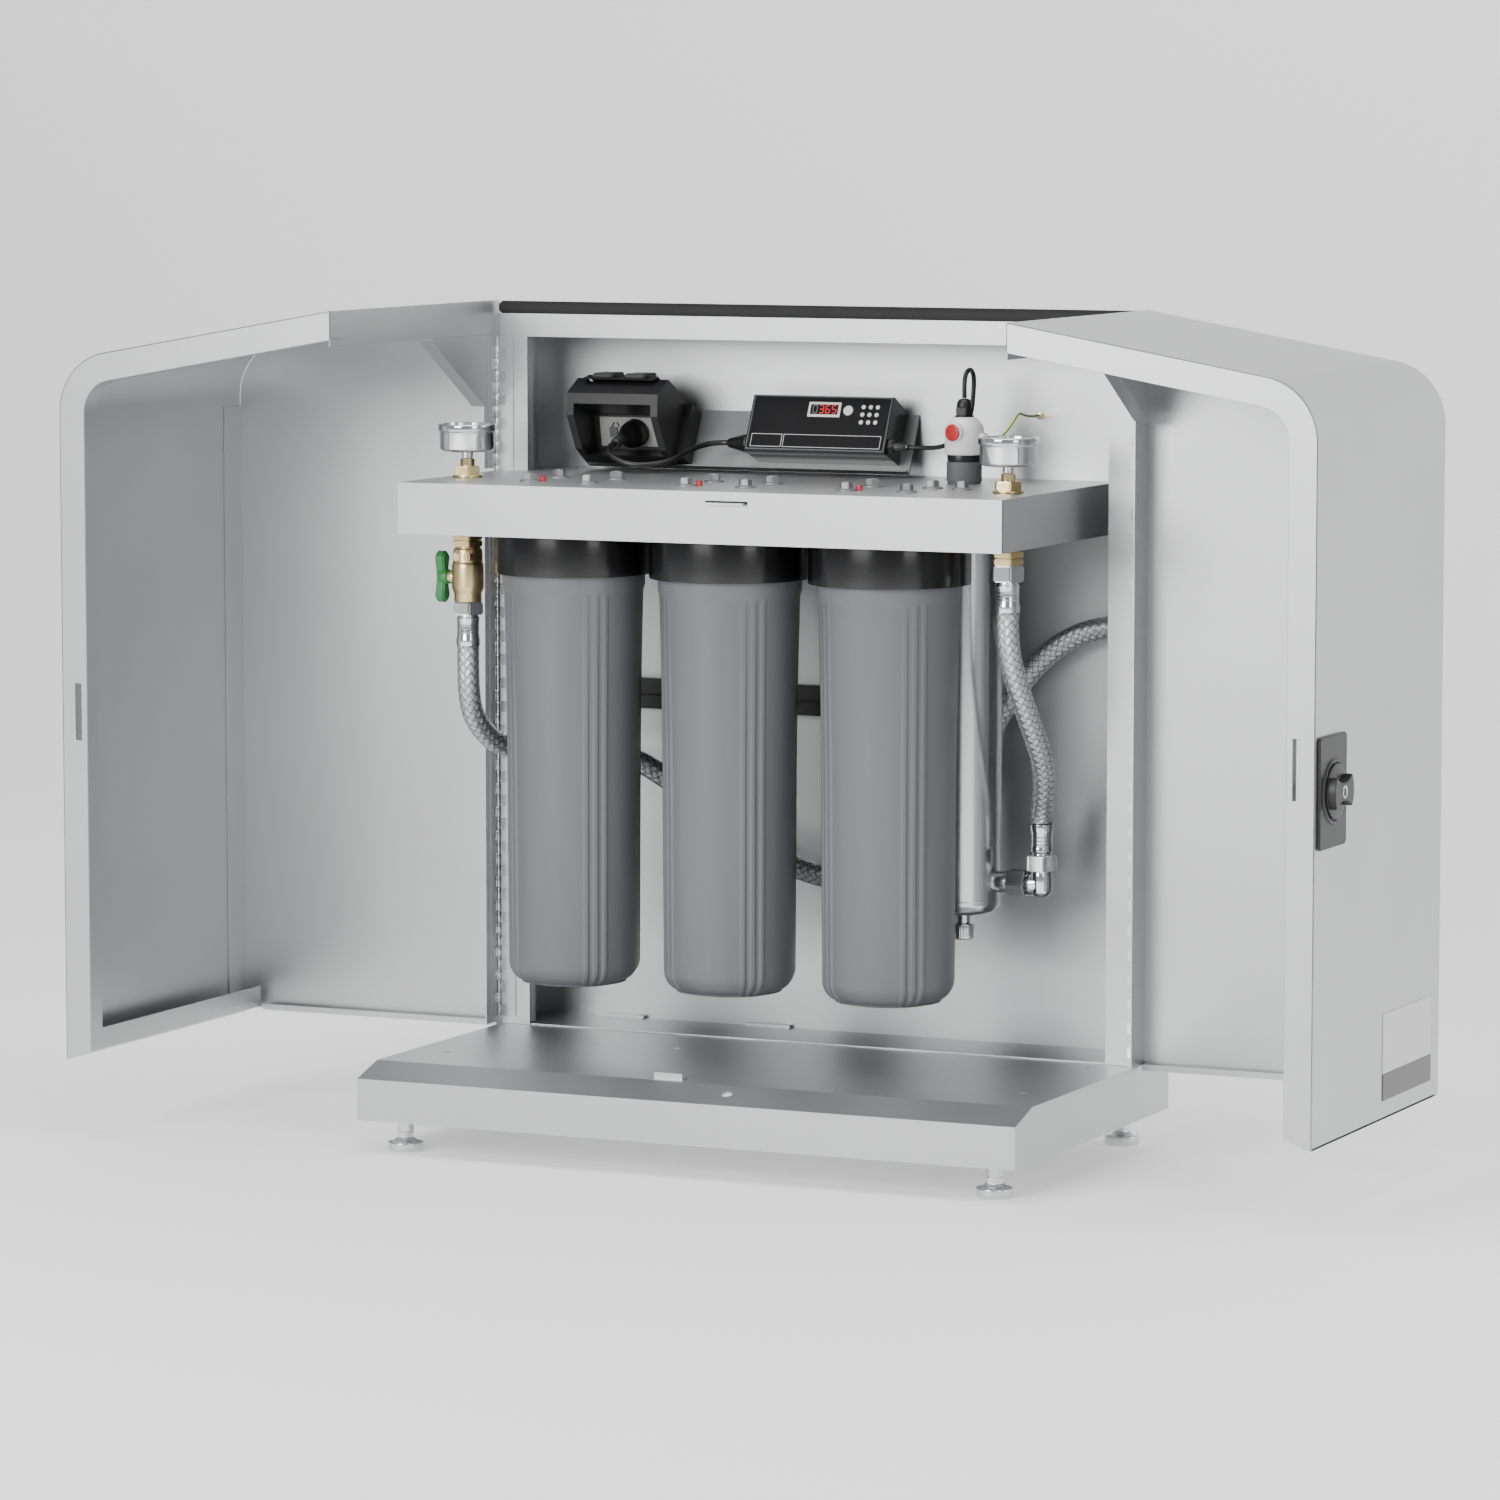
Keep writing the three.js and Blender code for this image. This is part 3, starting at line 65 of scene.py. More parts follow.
def box_mm(node):
    """A node's box in the making frame, in millimetres."""
    low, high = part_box(node)
    shift = Vector((0, TRAY_FRONT, 0))
    return (low - shift) / MM, (high - shift) / MM


def middle(node):
    low, high = box_mm(node)
    return (low + high) / 2


SHELF = box_mm("manifold_bracket")[1].z
CABINET_TOP = box_mm("back_box")[1].z
BACK = box_mm("back_box")[1].y - 1.5
TRAY_TOP = box_mm("back_box")[0].z - 0.3
DOOR_LOW, DOOR_HIGH = box_mm("right_door_skin")
HOUSINGS = [middle(f"housing_sump_{i}") for i in (1, 2, 3)]
INLET = middle("inlet_gauge_case")
OUTLET = middle("outlet_gauge_case")
LAMP = middle("drain_cap")
ELBOW = middle("link_hose_low_end")
KNOB = box_mm("latch_knob")
KEY = middle("key_cylinder")
BALLAST_RIGHT = box_mm("ballast_case")[1].x
BALLAST_LEFT = box_mm("ballast_case")[0].x
HINGE = middle("right_hinge_pin")
TILT = math.radians(25)


class CabinetSizes(bpy.types.PropertyGroup):
    """Sizes that set the fine detail."""

    edge: FloatProperty(
        name="Edge radius", description="Rounding of folded sheet edges", default=0.0006, unit="LENGTH"
    )
    knuckle: FloatProperty(
        name="Knuckle length", description="Length of one hinge knuckle", default=0.014, unit="LENGTH"
    )
    rib_height: FloatProperty(
        name="Rib height", description="How far the sump ribs stand out", default=0.0022, unit="LENGTH"
    )
    braid_strands: IntProperty(
        name="Braid strands", description="Strands round a braided hose", default=8, min=6, max=40
    )
    grain: FloatProperty(
        name="Grain", description="Strength of the steel's satin grain", default=1.0, subtype="FACTOR"
    )


class CabinetColours(bpy.types.PropertyGroup):
    """Colours that a user would change."""

    steel: FloatVectorProperty(
        name="Steel", description="Tint of the satin sheet", default=(0.56, 0.565, 0.57), subtype="COLOR"
    )
    sump: FloatVectorProperty(
        name="Sump", description="Colour of the sumps", default=(0.135, 0.14, 0.15), subtype="COLOR"
    )
    handle: FloatVectorProperty(
        name="Handle", description="Colour of the valve handle", default=(0.02, 0.19, 0.045), subtype="COLOR"
    )
    brass: FloatVectorProperty(
        name="Brass", description="Colour of the pipe fittings", default=(0.83, 0.66, 0.34), subtype="COLOR"
    )
    button: FloatVectorProperty(
        name="Red buttons", description="Colour of the red buttons", default=(0.48, 0.008, 0.014),
        subtype="COLOR",
    )


def sizes():
    return bpy.context.scene.cabinet_sizes


def colours():
    return bpy.context.scene.cabinet_colours


# Finishes


class Field:
    """A shader socket that takes part in ordinary arithmetic."""

    def __init__(self, surface, socket):
        self.surface = surface
        self.socket = socket

    def _maths(self, operation, first, second=0.0):
        return self.surface.node("ShaderNodeMath", {"operation": operation}, {0: first, 1: second})

    def __add__(self, other):
        return self._maths("ADD", self, other)

    def __radd__(self, other):
        return self._maths("ADD", other, self)

    def __sub__(self, other):
        return self._maths("SUBTRACT", self, other)

    def __rsub__(self, other):
        return self._maths("SUBTRACT", other, self)

    def __mul__(self, other):
        return self._maths("MULTIPLY", self, other)

    def __rmul__(self, other):
        return self._maths("MULTIPLY", other, self)

    def __pow__(self, other):
        return self._maths("POWER", self, other)

    def __mod__(self, other):
        return self._maths("FLOORED_MODULO", self, other)


class Surface:
    """A material whose varying parts are written as expressions."""

    def __init__(self, name):
        self.material = bpy.data.materials.new(name)
        self.material.use_nodes = True
        self.tree = self.material.node_tree
        self.shader = self.tree.nodes["Principled BSDF"]

    def node(self, kind, settings=None, sockets=None, output=0):
        made = self.tree.nodes.new(kind)
        for key, value in (settings or {}).items():
            if key == "stops":
                while len(made.color_ramp.elements) < len(value):
                    made.color_ramp.elements.new(0.5)
                for element, (position, grey) in zip(made.color_ramp.elements, value):
                    element.position = position
                    element.color = (grey, grey, grey, 1)
            else:
                setattr(made, key, value)
        for key, value in (sockets or {}).items():
            self.plug(made.inputs[key], value)
        return Field(self, made.outputs[output])

    def plug(self, socket, value):
        if isinstance(value, Field):
            self.tree.links.new(value.socket, socket)
        elif socket.type == "RGBA" and len(value) == 3:
            socket.default_value = (*value, 1)
        else:
            socket.default_value = value

    def place(self, stretch=(1, 1, 1)):
        """The point on the piece, in metres, stretched along its axes."""
        point = self.node("ShaderNodeTexCoord", output=3)
        if stretch == (1, 1, 1):
            return point
        return self.node("ShaderNodeVectorMath", {"operation": "MULTIPLY"}, {0: point, 1: stretch})

    def noise(self, scale, detail=2.0, roughness=0.5, stretch=(1, 1, 1)):
        return self.node(
            "ShaderNodeTexNoise", None,
            {"Vector": self.place(stretch), "Scale": scale, "Detail": detail, "Roughness": roughness},
        )

    def wave(self, value, operation="SINE"):
        return self.node("ShaderNodeMath", {"operation": operation}, {0: value})

    def ramp(self, value, *stops):
        return self.node("ShaderNodeValToRGB", {"stops": stops}, {0: value})

    def blend(self, share, first, second):
        return self.node(
            "ShaderNodeMix", {"data_type": "RGBA"}, {0: share, 6: first, 7: second}, output=2
        )

    def bump(self, height, distance, strength=1.0):
        return self.node(
            "ShaderNodeBump", None, {"Height": height, "Distance": distance, "Strength": strength}
        )

    def set(self, **sockets):
        for name, value in sockets.items():
            self.plug(self.shader.inputs[name.replace("_", " ")], value)
        return self.material


def shade(colour, by):
    return tuple(channel * by for channel in colour)


def satin_steel(name, tint, darker=0.86, rough=0.33):
    s = Surface(name)
    grain = s.noise(1300, 3, 0.6, (1, 1, 0.55))
    cloud = s.noise(5.5, 3, 0.55)
    tone = grain * 0.55 + cloud * 0.6 - 0.1
    return s.set(
        Base_Color=s.blend(tone, shade(tint, darker), shade(tint, 1.08)),
        Roughness=rough + 0.12 * grain + 0.05 * cloud,
        Metallic=1.0,
        Normal=s.bump(grain, 0.00012 * sizes().grain, 0.5),
    )


def stainless():
    return satin_steel("satin stainless", tuple(colours().steel))


# Satin stainless at 0.6 of the steel tint: painted shade for the console plate and the shelf bolts inside the
# cabinet.
def dark_steel():
    return satin_steel("stainless in painted shade", shade(tuple(colours().steel), 0.6), 0.8, 0.4)


def polished_steel():
    s = Surface("polished stainless")
    drawn = s.noise(60, 4, 0.6, (14, 14, 0.35))
    smear = s.noise(16, 3, 0.6)
    return s.set(
        Base_Color=s.blend(drawn, (0.58, 0.585, 0.59), (0.74, 0.745, 0.75)),
        Roughness=0.14 + 0.14 * smear + 0.05 * drawn,
        Metallic=1.0,
        Normal=s.bump(drawn, 0.00005, 0.3),
    )


def chrome():
    s = Surface("bright plate")
    smear = s.noise(70, 3, 0.6)
    return s.set(
        Base_Color=s.blend(smear, (0.72, 0.73, 0.74), (0.88, 0.885, 0.89)),
        Roughness=0.06 + 0.12 * smear,
        Metallic=1.0,
        Normal=s.bump(s.noise(420, 2), 0.00003, 0.25),
    )


def brass():
    s = Surface("machined brass")
    tint = tuple(colours().brass)
    turned = s.noise(900, 2, 0.5, (0.12, 0.12, 1))
    tarnish = s.noise(60, 4, 0.65)
    return s.set(
        Base_Color=s.blend(s.ramp(tarnish, (0.35, 0), (0.7, 1)), tint, shade(tint, 0.72)),
        Roughness=0.2 + 0.1 * turned + 0.12 * tarnish,
        Metallic=1.0,
        Normal=s.bump(turned, 0.00006, 0.5),
    )


def braid():
    """Flat bands of wires that cross over and under, laid out on the hose's wrap map."""
    s = Surface("woven braid")
    wrap = s.node("ShaderNodeUVMap", {"uv_map": "wrap"})
    round_hose = s.node("ShaderNodeSeparateXYZ", None, {0: wrap}, output=0)
    along_hose = s.node("ShaderNodeSeparateXYZ", None, {0: wrap}, output=1)
    strands = sizes().braid_strands
    right = round_hose * strands + along_hose * strands
    left = round_hose * strands - along_hose * strands
    over = s.wave((s.wave(right, "FLOOR") + s.wave(left, "FLOOR")) * math.pi * 0.5) ** 2
    band_r = s.wave(s.wave(right, "FRACT") * math.pi)
    band_l = s.wave(s.wave(left, "FRACT") * math.pi)
    wires_r = s.wave(s.wave(s.wave(right, "FRACT") * (math.pi * 5)), "ABSOLUTE")
    wires_l = s.wave(s.wave(s.wave(left, "FRACT") * (math.pi * 5)), "ABSOLUTE")
    shape_r = band_r * 0.7 + wires_r * 0.45
    shape_l = band_l * 0.7 + wires_l * 0.45
    height = over * shape_r + (1 - over) * shape_l
    # The colour follows the weave height, near black in the low parts: painted shade in the valleys between the wires
    # and along the edges of each band.
    return s.set(
        Base_Color=s.blend(s.ramp(height, (0.2, 0), (0.85, 1)), (0.05, 0.05, 0.055), (0.72, 0.73, 0.74)),
        Roughness=0.5 - 0.22 * height,
        Metallic=0.9,
        Normal=s.bump(height, 0.0007, 0.9),
    )


def moulded(name, colour, rough=0.32, texture=420, depth=0.00005, coat=0.0, spread=0.12):
    """Moulded plastic: faint cloudiness, a fine skin, and slight scuffing."""
    s = Surface(name)
    skin = s.noise(texture, 2, 0.5)
    cloud = s.noise(26, 3, 0.55)
    return s.set(
        Base_Color=s.blend(cloud, shade(colour, 1 - spread), shade(colour, 1 + spread)),
        Roughness=rough + 0.07 * cloud + 0.06 * skin,
        Coat_Weight=coat,
        Normal=s.bump(skin, depth, 0.5),
    )


def black_gloss():
    return moulded("glossy black plastic", (0.0045, 0.0045, 0.005), 0.14, 240, 0.00004, 0.15)


def grey_sump():
    s = Surface("grey sump plastic")
    tint = tuple(colours().sump)
    flow = s.noise(34, 3, 0.6, (1, 1, 0.12))
    skin = s.noise(700, 2, 0.5)
    return s.set(
        Base_Color=s.blend(flow, shade(tint, 0.88), shade(tint, 1.12)),
        Roughness=0.33 + 0.08 * flow + 0.05 * skin,
        Normal=s.bump(skin, 0.00004, 0.5),
    )


def dark_texture():
    return moulded("textured dark plastic", (0.009, 0.009, 0.010), 0.36, 1100, 0.00012)


def grey_fitting():
    return moulded("grey fitting plastic", (0.09, 0.092, 0.095), 0.4, 600, 0.00006)


def white_gloss():
    return moulded("white plastic", (0.80, 0.80, 0.785), 0.28, 300, 0.00003, 0.2, 0.03)


def red_gloss():
    return moulded("red plastic", tuple(colours().button), 0.24, 300, 0.00003, 0.3)


def green_dip():
    return moulded("green dipped coating", tuple(colours().handle), 0.38, 160, 0.0002, 0.1)


def sheath():
    return moulded("cable sheath", (0.006, 0.006, 0.0065), 0.32, 500, 0.00005)


def seal_rubber():
    return moulded("seal rubber", (0.003, 0.003, 0.003), 0.6, 500, 0.0001)


def socket_grey():
    return moulded("socket face", (0.30, 0.30, 0.29), 0.42, 700, 0.00004, 0.0, 0.05)


def earth_wire():
    """Yellow sheath with one long green stripe."""
    s = Surface("earth wire")
    wrap = s.node("ShaderNodeUVMap", {"uv_map": "wrap"})
    turn = s.node("ShaderNodeSeparateXYZ", None, {0: wrap}, output=0)
    stripe = s.ramp(turn, (0.34, 0), (0.37, 1), (0.63, 1), (0.66, 0))
    return s.set(
        Base_Color=s.blend(stripe, (0.72, 0.62, 0.03), (0.05, 0.30, 0.04)),
        Roughness=0.35 + 0.08 * s.noise(300),
    )


def clear_glass():
    s = Surface("clear glass")
    return s.set(
        Base_Color=(0.93, 0.96, 0.97), Roughness=0.03 + 0.03 * s.noise(40), Alpha=0.16, IOR=1.45
    )


def quartz():
    s = Surface("quartz")
    return s.set(
        Base_Color=(0.86, 0.91, 0.95), Roughness=0.05 + 0.04 * s.noise(30), Alpha=0.35, IOR=1.46
    )


def pleats():
    s = Surface("pleated medium")
    fold = s.wave(s.noise(26, 1, 0.5, (6, 6, 0.02)) * 40)
    # The colour follows the fold wave, darker in the pleat valleys and lighter on the ridges: painted shade and
    # highlight on the pleats.
    return s.set(
        Base_Color=s.blend(fold * 0.5 + 0.5, (0.62, 0.60, 0.54), (0.82, 0.80, 0.74)),
        Roughness=0.85,
        Normal=s.bump(fold, 0.0006, 0.8),
    )


def dial_white():
    return moulded("dial face", (0.78, 0.78, 0.76), 0.45, 900, 0.00002, 0.0, 0.02)


def label_silver():
    s = Surface("label silver")
    grain = s.noise(1500, 2, 0.5, (1, 1, 0.2))
    return s.set(
        Base_Color=s.blend(grain, (0.52, 0.52, 0.525), (0.64, 0.64, 0.645)),
        Roughness=0.42 + 0.1 * grain,
        Metallic=0.35,
    )


def glow(name, colour, strength):
    s = Surface(name)
    flicker = s.noise(900)
    return s.set(
        Base_Color=shade(colour, 0.4),
        Emission_Color=s.blend(flicker, shade(colour, 0.9), colour),
        Emission_Strength=strength,
        Roughness=0.3,
    )


def red_segments():
    return glow("lit segments", (0.9, 0.02, 0.02), 1.3)


# The unlit segments get a faint grey emission: a painted glow, since they give no light.
def unlit_segments():
    return glow("unlit segments", (0.25, 0.25, 0.26), 0.5)


made_finishes = {}


def finish(maker):
    """Each finish is made once, when the first piece asks for it."""
    if maker not in made_finishes:
        made_finishes[maker] = maker()
    return made_finishes[maker]


# Shapes


def facing(direction, centre=(0, 0, 0)):
    """A frame whose own Z points in a direction, with its origin at centre."""
    turn = Vector(direction).to_track_quat("Z", "Y").to_matrix().to_4x4()
    return Matrix.Translation(Vector(centre)) @ turn


def console_frame():
    """The console's frame: its own Y runs into the cabinet and its own Z up the plate."""
    plate = middle("console_plate")
    low = box_mm("console_plate")[0]
    foot_y = BACK - 0.3 - 76 * math.sin(TILT)
    turn = Matrix.Rotation(-TILT, 4, "X")
    return Matrix.Translation(Vector((0, foot_y, low.z - (plate.x - plate.x)))) @ turn


def socket_frame():
    """The socket's face inside the console's frame: its own Y runs into the box."""
    seat = Matrix.Translation(Vector((middle("mains_plug").x, -36.4, 30)))
    return console_frame() @ seat @ Matrix.Rotation(math.radians(35), 4, "X")


def arc(cu, cv, radius, start, end, steps):
    return [
        (cu + radius * math.cos(start + (end - start) * i / steps),
         cv + radius * math.sin(start + (end - start) * i / steps))
        for i in range(steps + 1)
    ]


def filleted(profile, radius, closed=False):
    """The profile with each sharp corner turned into a small curve."""
    count = len(profile)
    rounded = []
    for i, here in enumerate(profile):
        if not closed and i in (0, count - 1):
            rounded.append(here)
            continue
        point = Vector(here)
        before = Vector(profile[i - 1]) - point
        after = Vector(profile[(i + 1) % count]) - point
        if before.angle(-after, 0) < 0.25:
            rounded.append(here)
            continue
        back = point + before.normalized() * min(radius, before.length * 0.4)
        ahead = point + after.normalized() * min(radius, after.length * 0.4)
        centre = point * 0.5 + back * 0.25 + ahead * 0.25
        rounded += [tuple(back), tuple(centre), tuple(ahead)]
    return rounded


def smooth_route(points, step):
    """Evenly spaced points on one smooth curve through the given ones."""
    knots = [Vector(p) for p in points]
    fine = []
    for i in range(len(knots) - 1):
        p1, p2 = knots[i], knots[i + 1]
        p0 = knots[i - 1] if i else p1 * 2 - p2
        p3 = knots[i + 2] if i + 2 < len(knots) else p2 * 2 - p1
        d0, d1, d2 = ((b - a).length ** 0.5 for a, b in ((p0, p1), (p1, p2), (p2, p3)))
        t1 = ((p1 - p0) / d0 - (p2 - p0) / (d0 + d1) + (p2 - p1) / d1) * d1
        t2 = ((p2 - p1) / d1 - (p3 - p1) / (d1 + d2) + (p3 - p2) / d2) * d1
        for k in range(16):
            t = k / 16
            fine.append(
                p1 + t1 * t + (3 * (p2 - p1) - 2 * t1 - t2) * t * t + (2 * (p1 - p2) + t1 + t2) * t ** 3
            )
    fine.append(knots[-1])
    lengths = [0.0]
    for a, b in zip(fine, fine[1:]):
        lengths.append(lengths[-1] + (b - a).length)
    count = max(2, round(lengths[-1] / step))
    even, at = [], 0
    for i in range(count + 1):
        target = lengths[-1] * i / count
        while at < len(lengths) - 2 and lengths[at + 1] < target:
            at += 1
        span = lengths[at + 1] - lengths[at] or 1
        even.append(fine[at].lerp(fine[at + 1], min(1, max(0, (target - lengths[at]) / span))))
    return even


def in_metres(points):
    return [Vector((p[0], p[1], p[2])) * MM + Vector((0, TRAY_FRONT, 0)) for p in points]


class Shape:
    """A mesh under construction, in millimetres."""

    def __init__(self):
        self.mesh = bmesh.new()
        self.wrap = None

    def _grid(self, rows, close_rows, close_columns):
        """Joins rows of vertices with quads; a row of one vertex is a pole."""
        for i in range(len(rows) if close_rows else len(rows) - 1):
            a, b = rows[i], rows[(i + 1) % len(rows)]
            count = max(len(a), len(b))
            for j in range(count if close_columns else count - 1):
                k = (j + 1) % count
                corners = [a[j % len(a)], a[k % len(a)], b[k % len(b)], b[j % len(b)]]
                unique = list(dict.fromkeys(corners))
                if len(unique) > 2:
                    self.mesh.faces.new(unique)

    def turn(self, profile, matrix=None, steps=48, fillet=0.5, reach=None):
        """A turned solid about the frame's Z; reach(angle, radius, height) may change the radius."""
        closed = profile[0][0] > 0 and profile[-1][0] > 0
        matrix = matrix or Matrix()
        rows = []
        for r, z in filleted(profile, fillet, closed):
            if r < 1e-6:
                rows.append([self.mesh.verts.new(matrix @ Vector((0, 0, z)))])
                continue
            row = []
            for i in range(steps):
                a = 2 * math.pi * i / steps
                out = reach(a, r, z) if reach else r
                row.append(self.mesh.verts.new(matrix @ Vector((out * math.cos(a), out * math.sin(a), z))))
            rows.append(row)
        self._grid(rows, closed, True)
        return self

    def prism(self, outline, low, high, matrix=None, bevel=0.4, segments=2):
        """An outline in the frame's XY carried along its Z, with softened edges."""
        part = bmesh.new()
        rings = [[part.verts.new((u, v, z)) for u, v in outline] for z in (low, high)]
        count = len(outline)
        for i in range(count):
            j = (i + 1) % count
            part.faces.new([rings[0][i], rings[0][j], rings[1][j], rings[1][i]])
        part.faces.new(rings[0][::-1])
        part.faces.new(rings[1])
        self._take(part, matrix, bevel, segments)
        return self

    def block(self, low, high, matrix=None, bevel=0.4, segments=2):
        x0, y0, z0 = low
        x1, y1, z1 = high
        return self.prism([(x0, y0), (x1, y0), (x1, y1), (x0, y1)], z0, z1, matrix, bevel, segments)

    def hexagon(self, flats, low, high, matrix=None, bevel=0.7):
        corner = flats / math.sqrt(3)
        outline = [(corner * math.cos(math.pi * i / 3), corner * math.sin(math.pi * i / 3)) for i in range(6)]
        return self.prism(outline, low, high, matrix, bevel)

    def disc(self, radius, low, high, matrix=None, steps=32, fillet=0.4):
        return self.turn([(0, low), (radius, low), (radius, high), (0, high)], matrix, steps, fillet)

    def _take(self, part, matrix, bevel, segments):
        bmesh.ops.recalc_face_normals(part, faces=part.faces)
        if bevel:
            sharp = [e for e in part.edges if e.calc_face_angle(0) > 0.4]
            bmesh.ops.bevel(
                part, geom=sharp, offset=bevel, segments=segments, affect="EDGES", clamp_overlap=True
            )
        if matrix:
            bmesh.ops.transform(part, matrix=matrix, verts=part.verts)
        held = bpy.data.meshes.new("held")
        part.to_mesh(held)
        part.free()
        self.mesh.from_mesh(held)
        bpy.data.meshes.remove(held)

    def tube(self, route, radius, sides=16, caps=True):
        """A round tube along the route, with a wrap map: turns across, circumferences along."""
        self.wrap = self.wrap or self.mesh.loops.layers.uv.new("wrap")
        heading = (route[1] - route[0]).normalized()
        across = heading.orthogonal().normalized()
        rows, travelled, lengths = [], 0.0, []
        for i, point in enumerate(route):
            ahead = route[min(i + 1, len(route) - 1)] - route[max(i - 1, 0)]
            new_heading = ahead.normalized()
            across = (heading.rotation_difference(new_heading) @ across).normalized()
            heading = new_heading
            up = heading.cross(across)
            travelled += (point - route[i - 1]).length if i else 0.0
            lengths.append(travelled)
            ring = [
                point + radius * (across * math.cos(2 * math.pi * k / sides) + up * math.sin(2 * math.pi * k / sides))
                for k in range(sides)
            ]
            rows.append([self.mesh.verts.new(p) for p in ring])
        girth = 2 * math.pi * radius
        for i in range(len(rows) - 1):
            for k in range(sides):
                n = (k + 1) % sides
                face = self.mesh.faces.new([rows[i][k], rows[i][n], rows[i + 1][n], rows[i + 1][k]])
                corners = [(k, i), (k + 1, i), (k + 1, i + 1), (k, i + 1)]
                for loop, (u, v) in zip(face.loops, corners):
                    loop[self.wrap].uv = (u / sides, lengths[v] / girth)
        if caps:
            self.mesh.faces.new(rows[0][::-1])
            self.mesh.faces.new(rows[-1])
        return self

    def cells(self, lattice, filled):
        """Sheet from a lattice of (front, back) point pairs; only the filled cells are there."""
        grid = [[tuple(self.mesh.verts.new(p) for p in pair) for pair in row] for row in lattice]
        rows, columns = len(grid) - 1, len(grid[0]) - 1
        for i in range(rows):
            for j in range(columns):
                if not filled(i, j):
                    continue
                corners = [grid[i][j], grid[i][j + 1], grid[i + 1][j + 1], grid[i + 1][j]]
                self.mesh.faces.new([c[0] for c in corners])
                self.mesh.faces.new([c[1] for c in reversed(corners)])
                sides = [((i - 1, j), 0, 1), ((i, j + 1), 1, 2), ((i + 1, j), 2, 3), ((i, j - 1), 3, 0)]
                for (r, c), a, b in sides:
                    if not (0 <= r < rows and 0 <= c < columns and filled(r, c)):
                        self.mesh.faces.new([corners[a][0], corners[a][1], corners[b][1], corners[b][0]])
        return self

    def mirrored(self, side):
        if side < 0:
            bmesh.ops.scale(self.mesh, vec=(-1, 1, 1), verts=self.mesh.verts)
            bmesh.ops.reverse_faces(self.mesh, faces=self.mesh.faces)
        return self

    def piece(self, name, body, maker, slot=None, replaces=(), edge=0.0, sharp=0.6, fix=True):
        if fix:
            bmesh.ops.recalc_face_normals(self.mesh, faces=self.mesh.faces)
        for face in self.mesh.faces:
            face.smooth = True
        for line in self.mesh.edges:
            line.smooth = line.calc_face_angle(0) < sharp
        bmesh.ops.scale(self.mesh, vec=(MM, MM, MM), verts=self.mesh.verts)
        bmesh.ops.translate(self.mesh, vec=(0, TRAY_FRONT, 0), verts=self.mesh.verts)
        data = bpy.data.meshes.new(name)
        self.mesh.to_mesh(data)
        self.mesh.free()
        made = bpy.data.objects.new(name, data)
        bpy.context.scene.collection.objects.link(made)
        data.materials.append(finish(maker))
        if edge:
            soften(made, edge)
        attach(made, body)
        if replaces:
            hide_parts(*replaces)
        return made


def soften(made, width):
    """Rounds the hard edges, as a fold or a mould does."""
    bevel = made.modifiers.new("edges", "BEVEL")
    bevel.width = width
    bevel.segments = 2
    bevel.limit_method = "ANGLE"
    bevel.angle_limit = math.radians(38)
    bevel.harden_normals = False
    bevel.use_clamp_overlap = True


def dress(node, maker, edge=0.0, smooth=False):
    """Gives a carried-over node its finish."""
    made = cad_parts[node]
    made.data.materials.clear()
    made.data.materials.append(finish(maker))
    if smooth:
        for face in made.data.polygons:
            face.use_smooth = True
        made.data.set_sharp_from_angle(angle=math.radians(32))
    if edge:
        soften(made, edge)
    return made


def upright(point, z=0):
    return Matrix.Translation(Vector((point.x, point.y, z)))


# Cords, along the routes that the solid model gives them

SUPPLY_ROUTE = [
    (-374, 220, 566.1), (-374, 220, 538), (-375, 224, 511), (-376, 234, 488), (-374, 252, 467),
    (-369, 275, 450), (-359, 300, 441), (-344, 325, 437), (-323, 345, 437), (-296, 361, 436),
    (-264, 374, 431), (-234, 384, 421), (-209, 389, 407), (-180, 394, 389), (-144, 400, 363),
    (-102, 403, 335), (-60, 405, 311), (-18, 407, 296), (24, 409, 291), (64, 411, 299),
    (100, 413, 321), (132, 415, 355), (160, 417, 397), (186, 419, 444), (211, 421, 489),
    (238, 423, 529), (270, 425, 563), (308, 425, 587), (346, 425, 597), (364, 425, 598),
    (378, 425, 598),
]
LINK_ROUTE = [
    (304, 220, 628.4), (304, 220, 612), (304.5, 223, 588), (306, 232, 561), (309, 247, 533),
    (311, 265, 506), (312, 285, 480), (311, 306, 454), (306.5, 323, 432), (300, 338, 412),
    (294, 349.5, 397), (291, 355, 385), (291, 355, 375.6),
]
MAINS_ROUTE = [
    (-247, 348.9, 797), (-247, 338, 795), (-244.5, 328, 791), (-238, 319.5, 786),
    (-227, 314.5, 781), (-213, 313, 777), (-198, 315.5, 775.5), (-184, 322, 776.5),
    (-173, 332.5, 779), (-166, 345.5, 783), (-162, 359.5, 787.5), (-158, 373.5, 791.5),
    (-152.5, 387.5, 795), (-144, 398.5, 797.5), (-133, 403.6, 798.3), (-125.6, 404.4, 798.3),
]
LAMP_ROUTE = [
    (103.3, 404.4, 798.3), (114, 404, 798.3), (127, 402.5, 798.5), (141, 400, 799.5),
    (154, 397, 803), (166, 394, 809.5), (177, 390.5, 819), (185, 388, 831.5), (190, 386.5, 846),
    (192, 385.5, 861), (193, 385, 876), (193.6, 382.1, 884.8), (194, 374.6, 890.3),
    (194, 365.4, 890.3), (194, 357.9, 884.8), (194, 355, 876), (194, 355, 859.5),
]


